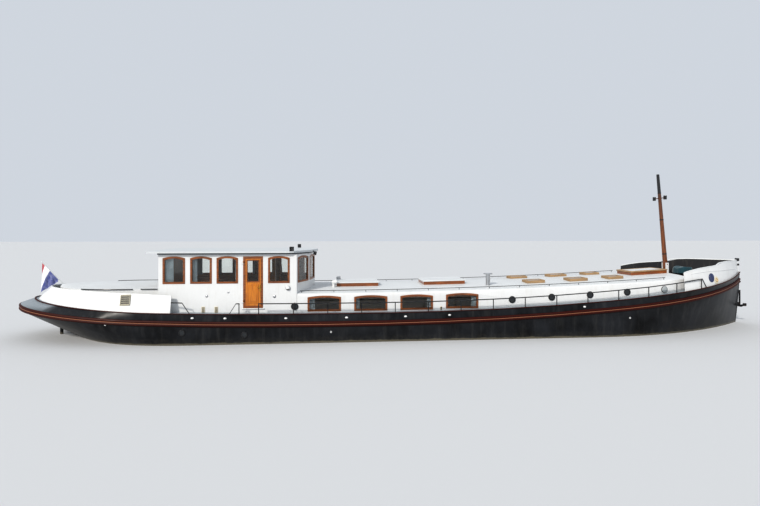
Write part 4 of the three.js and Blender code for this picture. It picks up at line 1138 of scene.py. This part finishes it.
# Where each bulwark's cap rail starts and where it meets the other side's
BOW_RAIL, AFT_RAIL = (10.025, 13.86), (-8.27, -13.085)
# Height over the waterline of the strake on the bow bulwark
BOW_STRAKE = ((10.45, 2.19), (11.3, 2.26), (13.56, 2.26))


class BARGE_OT_hull_fittings(bpy.types.Operator):
    """Scupper hoods, outlets, louvres, the bow's ornament and strake, and the cap rails"""
    bl_idname = "barge.hull_fittings"
    bl_label = "Hull fittings"

    def execute(self, context):
        sizes = context.scene.barge_sizes
        for side, word in SIDES:
            row = []
            for x in SCUPPERS:
                place = x + SHIFT
                height = (rub_height(place) + deck_height(place)) / 2 + 0.035
                row.append(put(self.hood(sizes.scupper), self.on_skin(place, height, side), (0, side, 0)))
            finish_piece(joined(f"scupper_hoods_{word}", *row), "boat", "cabin_white")
            row = []
            for x, z in OUTLETS:
                at, out = self.on_skin(x + SHIFT, z + WATER, side), self.skin_out(x + SHIFT, side)
                row.append(put(hoop("outlet", 0.026, 0.010, 16, 8), at, out))
            finish_piece(joined(f"outlets_{word}", *row), "boat", "cabin_white")
            self.louvre(word, side)
            self.ornament(word, side)
        self.cap_rails(sizes.cap_rail)
        return {"FINISHED"}

    def on_skin(self, x, z, side):
        return Vector((x, side * (skin_half(x, z) - 0.004), z))

    def skin_out(self, x, side):
        return Vector((rub_half(x - 0.1) - rub_half(x + 0.1), 0.2 * side, 0))

    def hood(self, radius):
        """A dome with its lower quarter cut off and a lip round it"""
        piece = dome("hood", radius, (1.05, 0.8, 0.6))
        cut_off(piece, (0, -radius * 0.4, 0), (0, 1, 0))
        lip = hoop("lip", radius, 0.006, 20)
        lip.scale = (1.05, 0.8, 1.0)
        fix_place(lip)
        return joined("hood", piece, lip)

    def louvre(self, word, side):
        """Slatted vent in the aft bulwark"""
        x0, x1, z0, z1 = LOUVRE[0] + SHIFT, LOUVRE[1] + SHIFT, LOUVRE[2] + WATER, LOUVRE[3] + WATER
        wide, high = x1 - x0, z1 - z0
        plate = block("louvre", (-wide / 2, -high / 2, 0), (wide / 2, high / 2, 0.022))
        add_finish(plate, "frame_beige", "rail_grey")
        inset_panel(plate, top_face(), 0.022, -0.016)
        # The sunk middle behind the slats is painted near black: painted shade of the vent's opening
        paint_faces(plate, 1, top_face(0.04))
        slats = slat_row(wide, high, 5, (0.03, 0.045), (0.017, 0.003), 38, 0.014, "slat_beige")
        piece = joined(f"aft_louvre_{word}", plate, *slats)

        def on_bulwark(x, z, proud=0):
            return Vector((x, side * (aft_skin_half(x, z) + proud), z))

        x, z = (x0 + x1) / 2, (z0 + z1) / 2
        along = on_bulwark(x1, z) - on_bulwark(x0, z)
        upward = on_bulwark(x, z1) - on_bulwark(x, z0)
        put(piece, on_bulwark(x, z, 0.002), along.cross(upward) * (-side), upward)
        finish_piece(piece, "boat", ["frame_beige", "rail_grey", "slat_beige"])

    def ornament(self, word, side):
        """A blue and a cream disc with a ring on it, plates on the bow bulwark"""
        plates = []
        for label, x, z, radius, thick, finish in BOW_DISCS:
            plate = disc(label, radius, thick, 40, thick / 2)
            round_edges(plate, 0.003, 60)
            inset_panel(plate, top_face(0.01), 0.014, 0.003)
            plates.append(self.set_on_bow(add_finish(plate, finish), x + SHIFT, z, side))
        ring = add_finish(hoop("ring", 0.060, 0.008, 32, 8, 0.016), "brass")
        _, x, z, _, _, _ = BOW_DISCS[1]
        plates.append(self.set_on_bow(ring, x + SHIFT, z, side))
        piece = joined(f"bow_ornament_{word}", *plates)
        finish_piece(piece, "boat", ["trim_blue", "trim_cream", "brass"])

    def set_on_bow(self, piece, x, z, side):
        """Puts a piece flat on the outside of the bow bulwark"""
        def on_bow(x, z):
            return Vector((x, side * (bow_skin_half(x, z) - 0.002), z))

        along = on_bow(x + 0.1, z) - on_bow(x - 0.1, z)
        upward = on_bow(x, z + 0.1) - on_bow(x, z - 0.1)
        return put(piece, on_bow(x, z), along.cross(upward) * (-side))

    def cap_rails(self, radius):
        """Rounded caps on the bulwarks, and the strake along the bow's"""
        bow = [(x, bow_cap_half(x) - 0.018, bow_cap_height(x) + 0.006) for x in eased(*BOW_RAIL, 24)]
        aft = [(x, aft_cap_half(x) - 0.024, aft_cap_height(x) + 0.002) for x in eased(*AFT_RAIL, 20)]
        for name, port in (("bow_cap_rail", bow), ("aft_cap_rail", aft)):
            line = port + [(x, -y, z) for x, y, z in reversed(port)]
            swept(name, line, radius, "boat", "roof_white")
        for side, word in SIDES:
            line = []
            for x in eased(BOW_STRAKE[0][0], BOW_STRAKE[-1][0], 15):
                z = WATER + table_value(BOW_STRAKE, x)
                line.append((x + SHIFT, side * (bow_skin_half(x + SHIFT, z) + 0.001), z))
            swept(f"bow_strake_{word}", line, 0.014, "boat", "cabin_white")


# Vents in the cabins' sides: place, height over the waterline, width and height
WALL_VENTS = (
    (-7.142, 1.105, 0.115, 0.215), (-6.713, 1.100, 0.115, 0.215), (1.040, 1.043, 0.07, 0.15),
)
# Round caps beside them: place, height over the waterline and radius
WALL_CAPS = ((-6.313, 1.689, 0.030), (-7.025, 1.562, 0.036), (-4.765, 1.528, 0.045))
# Foot of the sidelights, on the wheelhouse roof's edge
SIDE_LIGHT_FOOT = 4.187


class BARGE_OT_house_fittings(bpy.types.Operator):
    """Bulkhead lamps, vents and caps, the sidelights, and the work lamp on the wheelhouse"""
    bl_idname = "barge.house_fittings"
    bl_label = "Wheelhouse fittings"

    def execute(self, context):
        for side, word in SIDES:
            self.bulkhead_lamp(word, side)
            self.small_vents(word, side)
            self.side_light(word, side)
        self.work_lamp()
        return {"FINISHED"}

    def bulkhead_lamp(self, word, side):
        """Round lamp with a black hood over its globe's lower half, a dark piece standing for painted
        shade on the globe's underside
        """
        base = disc("lamp", 0.085, 0.03, 24, 0.015)
        round_edges(base, 0.006, 60)
        add_finish(base, "stainless", "cabin_white", "black_gloss")
        globe = add_finish(dome("globe", 0.068, (1, 1, 0.75), 0.03), "cabin_white")
        # The black hood stands for painted shade on the underside of the globe
        hood = dome("hood", 0.072, (1, 1, 0.85), 0.029)
        cut_off(hood, (0, -0.032, 0), (0, 1, 0), ahead=True)
        add_finish(hood, "black_gloss")
        piece = joined(f"bulkhead_lamp_{word}", base, globe, hood)
        put(piece, Vector((-4.307 + SHIFT, side * CABIN_HALF, 1.815 + WATER)), (0, side, 0))
        finish_piece(piece, "boat", ["stainless", "cabin_white", "black_gloss"])

    def small_vents(self, word, side):
        for number, (x, z, wide, high) in enumerate(WALL_VENTS, start=1):
            plate = block("vent", (-wide / 2, -high / 2, 0), (wide / 2, high / 2, 0.014))
            add_finish(plate, "trim_cream", "rail_grey")
            round_edges(plate, 0.003)
            slats = slat_row(wide, high, 6, (0.014, 0.03), (0.009, 0.002), 40, 0.019, "rail_grey")
            piece = joined(f"wall_vent_{number}_{word}", plate, *slats)
            put(piece, Vector((x + SHIFT, side * (CABIN_HALF - 0.001), z + WATER)), (0, side, 0))
            finish_piece(piece, "boat", ["trim_cream", "rail_grey"])
        row = []
        for x, z, radius in WALL_CAPS:
            cap = dome("cap", radius, (1, 1, 0.5), 0, 14, 6)
            cap = joined("cap", cap, hoop("ring", radius * 1.15, 0.005, 18))
            row.append(put(cap, Vector((x + SHIFT, side * CABIN_HALF, z + WATER)), (0, side, 0)))
        finish_piece(joined(f"wall_caps_{word}", *row), "boat", "stainless")

    def side_light(self, word, side):
        """Sidelight in a screen at the edge of the roof"""
        foot, top = SIDE_LIGHT_FOOT, SIDE_LIGHT_FOOT + 0.15
        screen = block("screen", (-4.375, -0.012, foot), (-4.235, 0.012, top))
        back = block("back", (-4.375, 0.0, foot), (-4.360, 0.11, top))
        lamp = rod("lamp", (-4.30, 0.055, foot), (-4.30, 0.055, foot + 0.11), 0.035)
        for piece in (screen, back):
            round_edges(piece, 0.002)
            add_finish(piece, "black_gloss")
        add_finish(lamp, "lamp_glass")
        piece = joined(f"side_light_{word}", screen, back, lamp)
        if side < 0:
            piece.scale = (1, -1, 1)
        piece.location = (0, side * 2.03, 0)
        fix_place(piece)
        turn_faces_out(piece)
        finish_piece(piece, "boat", ["black_gloss", "lamp_glass"])

    def work_lamp(self):
        """Lamp that looks down from the front edge of the roof"""
        y = -0.75
        body = rod("work_lamp", (-3.61, y, 4.075), (-3.50, y, 4.050), 0.055, 18, 0.072)
        foot = rod("foot", (-3.635, y, 4.155), (-3.565, y, 4.09), 0.014, 10)
        for piece in (body, foot):
            add_finish(piece, "black_gloss")
        piece = joined("roof_work_lamp", body, foot)
        finish_piece(piece, "boat", "black_gloss")


class BARGE_OT_doors(bpy.types.Operator):
    """Beading, the raised panel, the lock and the sill of each side door"""
    bl_idname = "barge.doors"
    bl_label = "Door joinery"

    def execute(self, context):
        for side, word in SIDES:
            self.joinery(word, side)
            self.lock(word, side)
            out, high = side * CABIN_HALF, side * (CABIN_HALF + 0.035)
            sill = block(f"door_sill_{word}", (-5.86 + SHIFT, out, 2.205), (-5.11 + SHIFT, high, 2.236))
            turn_faces_out(sill)
            round_edges(sill, 0.005)
            finish_piece(sill, "boat", "cabin_white")
        return {"FINISHED"}

    def joinery(self, word, side):
        """Beading round the pane, the raised panel under it and the stiles round both"""
        bead = self.ring(0.425, 0.760, 0.035, 0.014)
        low = block("panel", (-0.185, -0.325, 0), (0.185, 0.325, 0.010))
        round_edges(low, 0.006)
        inset_panel(low, top_face(0.05), 0.02, -0.006)
        inset_panel(low, top_face(0.05, below=0.006), 0.02, 0.010)
        stiles = self.ring(0.650, 1.750, 0.072, 0.006)
        for part, x, z, finish in (
            (bead, DOOR_MIDDLE, 3.510, "frame_timber"), (low, DOOR_MIDDLE, 2.735, "varnish_upright"),
            (stiles, DOOR_MIDDLE + 0.0025, 3.125, "frame_timber"),
        ):
            put(part, Vector((x, side * CABIN_HALF, z)), (0, side, 0))
            add_finish(part, finish)
        piece = joined(f"door_joinery_{word}", bead, low, stiles)
        finish_piece(piece, f"door_{word}", ["frame_timber", "varnish_upright"])

    def lock(self, word, side):
        """Plate with a lever and a keyhole, on the face of the stile"""
        plate = block("plate", (-0.022, -0.11, 0), (0.022, 0.11, 0.005))
        round_edges(plate, 0.002)
        stem = rod("stem", (0, 0.04, 0), (0, 0.04, 0.05), 0.010)
        grip = rod("grip", (0.008, 0.04, 0.045), (-0.10, 0.035, 0.048), 0.011, 14, 0.008)
        eye = rod("eye", (0, -0.05, 0), (0, -0.05, 0.009), 0.013)
        lock = joined(f"door_lock_{word}", plate, stem, grip, eye)
        if side > 0:
            lock.scale = (-1, 1, 1)
            fix_place(lock)
            turn_faces_out(lock)
        put(lock, Vector((-5.250 + SHIFT, side * (CABIN_HALF + 0.0062), 2.92)), (0, side, 0))
        finish_piece(lock, f"door_{word}", "brass")

    def ring(self, wide, high, border, thick):
        """A flat rectangular frame facing +Z"""
        piece = block("ring", (-wide / 2, -high / 2, 0), (wide / 2, high / 2, thick))
        pick_faces(piece, lambda f: abs(f.normal.z) > 0.9)
        bpy.ops.mesh.inset(thickness=border, depth=0)
        bpy.ops.mesh.delete(type="FACE")
        bpy.ops.mesh.select_mode(type="EDGE")
        leave_edit()
        mesh = piece.data
        count = {}
        for face in mesh.polygons:
            for key in face.edge_keys:
                count[key] = count.get(key, 0) + 1
        mesh.vertices.foreach_set("select", [False] * len(mesh.vertices))
        for edge in mesh.edges:
            edge.select = count.get(edge.key, 0) == 1
            if edge.select:
                for index in edge.vertices:
                    mesh.vertices[index].select = True
        bpy.ops.object.mode_set(mode="EDIT")
        bpy.ops.mesh.bridge_edge_loops()
        leave_edit()
        turn_faces_out(piece)
        round_edges(piece, 0.004)
        return piece


def cloth_grid(name, across, down, where):
    """A sheet of square cells with its own UV map, shaped by a function of its two shares"""
    vertices = [where(i / across, j / down) for j in range(down + 1) for i in range(across + 1)]
    row = across + 1
    faces = [
        (j * row + i, j * row + i + 1, (j + 1) * row + i + 1, (j + 1) * row + i)
        for j in range(down) for i in range(across)
    ]
    mesh = bpy.data.meshes.new(name)
    mesh.from_pydata(vertices, [], faces)
    layer = mesh.uv_layers.new(name="cloth")
    for loop in mesh.loops:
        j, i = divmod(loop.vertex_index, row)
        layer.data[loop.index].uv = (i / across, 1 - j / down)
    piece = bpy.data.objects.new(name, mesh)
    bpy.context.scene.collection.objects.link(piece)
    select_only(piece)
    return piece


def thicken(piece, thickness):
    select_only(piece)
    bpy.ops.object.modifier_add(type="SOLIDIFY")
    solid = piece.modifiers[-1]
    solid.thickness = thickness
    solid.offset = 0
    bpy.ops.object.modifier_apply(modifier=solid.name)


# Curtains: name, and the aft and fore end of the gathered cloth
HOUSE_CURTAINS = (("house_1", -8.42, -8.14), ("house_2", -7.53, -7.36), ("house_3", -6.10, -6.02))
SALOON_CURTAINS = (
    ("saloon_1", -3.60, -3.40), ("saloon_2", -1.98, -1.84), ("saloon_3", 0.57, 0.72),
    ("saloon_4", 2.17, 2.36),
)
# For each room: its curtains, what they hang on, foot, head, and how far they hang inside the wall
CURTAINS = (
    (HOUSE_CURTAINS, "wheelhouse_glazing", 3.10, 4.00, 0.085),
    (SALOON_CURTAINS, "saloon_glazing", 2.12, 2.60, 0.115),
)


class BARGE_OT_soft_goods(bpy.types.Operator):
    """The ensign, the windlass cover and the curtains"""
    bl_idname = "barge.soft_goods"
    bl_label = "Ensign, cover and curtains"

    def execute(self, context):
        self.ensign()
        self.cover()
        folds = context.scene.barge_sizes.curtain_folds
        for side, word in SIDES:
            for row, holder, foot, head, behind in CURTAINS:
                y = side * (CABIN_HALF - behind)
                for label, x0, x1 in row:
                    name = f"curtain_{label}_{word}"
                    self.curtain(name, x0 + SHIFT, x1 + SHIFT, foot, head, y, folds, f"{holder}_{word}")
        return {"FINISHED"}

    def ensign(self):
        """Cloth hanging in folds from its hoist along the staff"""
        # The hoist's two ends, and the cloth's lower edge under each
        tip, low = Vector((-13.372 + SHIFT, 0, 3.700)), Vector((-12.806 + SHIFT, 0, 3.092))
        end_tip, end_low = Vector((-13.415 + SHIFT, 0, 2.640)), Vector((-12.815 + SHIFT, 0, 3.020))

        def where(across, down):
            top = tip.lerp(low, across)
            bottom = end_tip.lerp(end_low, across)
            point = top.lerp(bottom, down ** 0.9)
            depth = min(1.0, down * 3) * (0.6 + 0.4 * down)
            wave = across * 15 + down * 3.2
            ripple = across * 31 - down * 5
            point.y = 0.024 * depth * math.sin(wave) + 0.010 * depth * math.sin(ripple)
            point.x += 0.012 * depth * math.sin(wave + 1.3)
            point.z -= 0.012 * down * math.cos(across * 15)
            point.y += 0.012 * (1 - min(1.0, down * 6))
            return point

        piece = cloth_grid("ensign_flag", 48, 56, where)
        thicken(piece, 0.002)
        finish_piece(piece, "boat", "flag_cloth", 80)
        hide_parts("ensign")

    def cover(self):
        """Cloth thrown over the windlass, drawn in at the foot"""
        x0, x1 = 11.285 + SHIFT, 11.915 + SHIFT
        low, top = 3.155, 3.432

        def where(across, down):
            u, v = across * 2 - 1, down * 2 - 1
            ring = max(abs(u), abs(v), 1e-6)
            corner = (abs(u) ** 3.2 + abs(v) ** 3.2) ** (1 / 3.2) or 1.0
            along, over = u / corner, v / corner
            fall = max(0.0, (ring - 0.66) / 0.34)
            spread = 0.84 + 0.13 * math.sin(fall * math.pi / 2)
            if ring < 0.66:
                spread = ring / 0.66 * 0.84
            angle = math.atan2(v, u)
            fold = math.sin(angle * 9) * 0.6 + math.sin(angle * 14 + 1.7) * 0.4
            spread += 0.022 * fall * fold
            ends = 0.5 - 0.5 * math.cos(math.pi * min(1.0, abs(over) * spread * 1.25))
            crown = 0.045 * ends - 0.05 * (along * spread) ** 2
            crease = 0.006 * math.sin(7 * u + 4 * v) + 0.005 * math.sin(12 * v - 5 * u + 0.6)
            drop = (1 - math.cos(fall * math.pi / 2)) ** 0.8
            z = top - 0.05 + (crown + crease) * (1 - fall * 0.7) - (top - low - 0.06) * drop
            x = (x0 + x1) / 2 + (x1 - x0) / 2 * along * spread
            return Vector((x, 0.365 * over * spread, min(max(z, low), top)))

        piece = cloth_grid("windlass_cloth", 44, 48, where)
        thicken(piece, 0.003)
        finish_piece(piece, "boat", "teal_cloth", 80)
        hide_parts("windlass_cover")

    def curtain(self, name, x0, x1, z0, z1, y, folds, holder):
        """Gathered cloth with upright folds that open a little towards the hem"""
        def where(across, down):
            wave = math.sin(across * folds * 2 * math.pi)
            return Vector((
                x0 + (x1 - x0) * across + 0.006 * down * math.cos(across * folds * 4 * math.pi),
                y + 0.016 * (0.75 + 0.25 * down) * wave,
                z1 + (z0 - z1) * down,
            ))

        piece = cloth_grid(name, folds * 8, 10, where)
        thicken(piece, 0.0015)
        finish_piece(piece, "boat", "curtain_cloth", 80)


# Handrail on the aft cabin: aft and fore end of its two bars, its height, and how far in its ends turn
HANDRAIL_BARS = ((-11.30, -9.56), (-9.265, -8.75))
HANDRAIL_HEIGHT = 2.895
HANDRAIL_END = 0.045


class BARGE_OT_deck_gear(bpy.types.Operator):
    """Aft cabin handrails, mast lanterns and winch, and the stem head"""
    bl_idname = "barge.deck_gear"
    bl_label = "Deck gear"

    def execute(self, context):
        for side, word in SIDES:
            self.cabin_handrail(word, side)
        self.mast_lights()
        self.mast_winch()
        self.stem_head()
        return {"FINISHED"}

    def cabin_handrail(self, word, side):
        bars = []
        turn = Vector((0, side * HANDRAIL_END, 0))
        for x0, x1 in HANDRAIL_BARS:
            points = []
            for i in range(9):
                x = x0 + (x1 - x0) * i / 8 + SHIFT
                points.append(Vector((x, side * (aft_cabin_half(x) + 0.035), HANDRAIL_HEIGHT)))
            ends = [points[0] - turn, *points, points[-1] - turn]
            bars.append(swept("bar", ends, 0.014, None, "rail_grey"))
        finish_piece(joined(f"cabin_handrail_{word}", *bars), "boat", "rail_grey")

    def mast_lights(self):
        """Lanterns on the crosstree's ends, bands round the spar and a cap on its head"""
        pieces = []
        for x, low, high, radius in ((-0.240, 6.125, 6.275, 0.058), (0.230, 6.185, 6.345, 0.063)):
            centre = mast_axis(6.2) + x
            lantern = rod("lantern", (centre, 0, low), (centre, 0, high), radius, 18)
            round_edges(lantern, 0.008, 50)
            pieces.append(lantern)
        for z, radius in ((3.95, 0.088), (5.35, 0.076), (6.44, 0.066)):
            low, high = z - 0.02, z + 0.02
            pieces.append(rod("band", (mast_axis(low), 0, low), (mast_axis(high), 0, high), radius, 20))
        cap = dome("truck", 0.062, (1, 1, 0.45))
        cap.location = (mast_axis(7.190), 0, 7.186)
        fix_place(cap)
        pieces.append(cap)
        finish_piece(joined("mast_lanterns", *pieces), "mast", "black_gloss")

    def mast_winch(self):
        """Small hand winch on the fore side of the mast case"""
        x, z = 10.905 + SHIFT, 3.165
        shaft, crank_end = x + 0.085, z + 0.13
        back = block("back", (x, -0.11, z - 0.10), (x + 0.02, 0.11, z + 0.10))
        round_edges(back, 0.004)
        cheeks = self.cheeks((x + 0.01, z - 0.08), (x + 0.15, z + 0.08), 0.09)
        drum = rod("drum", (shaft, -0.10, z), (shaft, 0.10, z), 0.038, 18)
        flange = rod("flange", (shaft, -0.078, z), (shaft, -0.070, z), 0.062, 20)
        crank = rod("crank", (shaft, -0.115, z), (shaft, -0.115, crank_end), 0.008, 10)
        axle = rod("axle", (shaft, -0.125, z), (shaft, -0.09, z), 0.012, 12)
        grip = rod("grip", (shaft, -0.11, crank_end), (shaft, -0.19, crank_end), 0.013, 12)
        piece = joined("mast_winch", back, *cheeks, drum, flange, crank, axle, grip)
        finish_piece(piece, "boat", "ironwork")

    def stem_head(self):
        """Roller and eye where the bulwarks meet over the stem"""
        x, top, eye_height = 13.985 + SHIFT, 3.690, 3.489
        cheeks = self.cheeks((x - 0.02, top - 0.05), (x + 0.08, top + 0.065), 0.055)
        roller = rod("roller", (x + 0.03, -0.062, top + 0.02), (x + 0.03, 0.062, top + 0.02), 0.040, 18)
        eye = rod("eye", (x + 0.02, -0.02, eye_height), (x + 0.085, -0.02, eye_height), 0.042, 18)
        piece = joined("stem_head", *cheeks, roller, eye)
        finish_piece(piece, "boat", "black_gloss")

    def cheeks(self, low, high, out):
        """Two upright plates between low and high, each as far out from the centre line"""
        plates = []
        for y in (-out, out):
            plate = block("cheek", (low[0], y - 0.008, low[1]), (high[0], y + 0.008, high[1]))
            round_edges(plate, 0.004)
            plates.append(plate)
        return plates


WORLD_COLOUR, WORLD_STRENGTH = (0.88, 0.93, 1.0, 1), 0.85
# Where the sun stands, seen from the boat
SUN_DIRECTION, SUN_COLOUR, SUN_STRENGTH = (-0.55, -0.75, 0.62), (1.0, 0.95, 0.88), 3.2
CAMERA_PLACE, CAMERA_TURN = (-2.925, -19.66, 4.82), math.radians(-5.39)
# Focal length and sensor width in millimetres
CAMERA_LENS, CAMERA_SENSOR, CAMERA_RISE = 24.02, 36, -0.0268
EXPOSURE, GAMMA = -0.12, 0.8


class BARGE_OT_stage(bpy.types.Operator):
    """A pale floor at the waterline, soft light and the camera"""
    bl_idname = "barge.stage"
    bl_label = "Stage"

    def execute(self, context):
        clear_selection()
        bpy.ops.mesh.primitive_plane_add(size=400, location=(0, 0, WATER))
        floor = added("floor")
        material = bpy.data.materials.new("floor_pale")
        material.use_nodes = True
        shader = material.node_tree.nodes["Principled BSDF"]
        shader.inputs["Base Color"].default_value = (0.62, 0.63, 0.64, 1)
        shader.inputs["Roughness"].default_value = 0.9
        floor.data.materials.append(material)
        world = bpy.data.worlds.new("studio")
        context.scene.world = world
        world.use_nodes = True
        back = world.node_tree.nodes["Background"]
        back.inputs["Color"].default_value = WORLD_COLOUR
        back.inputs["Strength"].default_value = WORLD_STRENGTH
        bpy.ops.object.light_add(type="SUN", location=(-20, -30, 30))
        sun = added("key_light")
        sun.data.energy = SUN_STRENGTH
        sun.data.angle = math.radians(6)
        sun.data.color = SUN_COLOUR
        sun.rotation_euler = Vector(SUN_DIRECTION).to_track_quat("Z", "Y").to_euler()
        bpy.ops.object.camera_add(location=CAMERA_PLACE, rotation=(math.pi / 2, 0, CAMERA_TURN))
        camera = added("camera")
        camera.data.sensor_width = CAMERA_SENSOR
        camera.data.lens = CAMERA_LENS
        camera.data.shift_y = CAMERA_RISE
        camera.data.clip_end = 500
        context.scene.camera = camera
        context.scene.view_settings.view_transform = "Standard"
        context.scene.view_settings.exposure = EXPOSURE
        context.scene.view_settings.gamma = GAMMA
        return {"FINISHED"}


OPERATORS = (
    BARGE_OT_finishes, BARGE_OT_hull, BARGE_OT_cabins, BARGE_OT_fitted_pieces, BARGE_OT_lids,
    BARGE_OT_portholes, BARGE_OT_hull_fittings, BARGE_OT_house_fittings, BARGE_OT_doors,
    BARGE_OT_soft_goods, BARGE_OT_deck_gear, BARGE_OT_stage,
)


class BARGE_PT_panel(bpy.types.Panel):
    """Sizes, colours and the steps in order"""
    bl_idname = "BARGE_PT_panel"
    bl_label = "Houseboat"
    bl_space_type = "VIEW_3D"
    bl_region_type = "UI"
    bl_category = "Barge"

    def draw(self, context):
        layout = self.layout
        for holder in (context.scene.barge_sizes, context.scene.barge_colours):
            column = layout.column()
            for name in holder.__annotations__:
                column.prop(holder, name)
        for operator in OPERATORS:
            layout.operator(operator.bl_idname)


CLASSES = (BargeColours, BargeSizes, *OPERATORS, BARGE_PT_panel)


def register():
    for each in CLASSES:
        bpy.utils.register_class(each)
    bpy.types.Scene.barge_colours = PointerProperty(type=BargeColours)
    bpy.types.Scene.barge_sizes = PointerProperty(type=BargeSizes)


def unregister():
    del bpy.types.Scene.barge_sizes
    del bpy.types.Scene.barge_colours
    for each in reversed(CLASSES):
        bpy.utils.unregister_class(each)


def main():
    register()
    for operator in OPERATORS:
        group, name = operator.bl_idname.split(".")
        getattr(getattr(bpy.ops, group), name)()


if __name__ == "__main__":
    main()
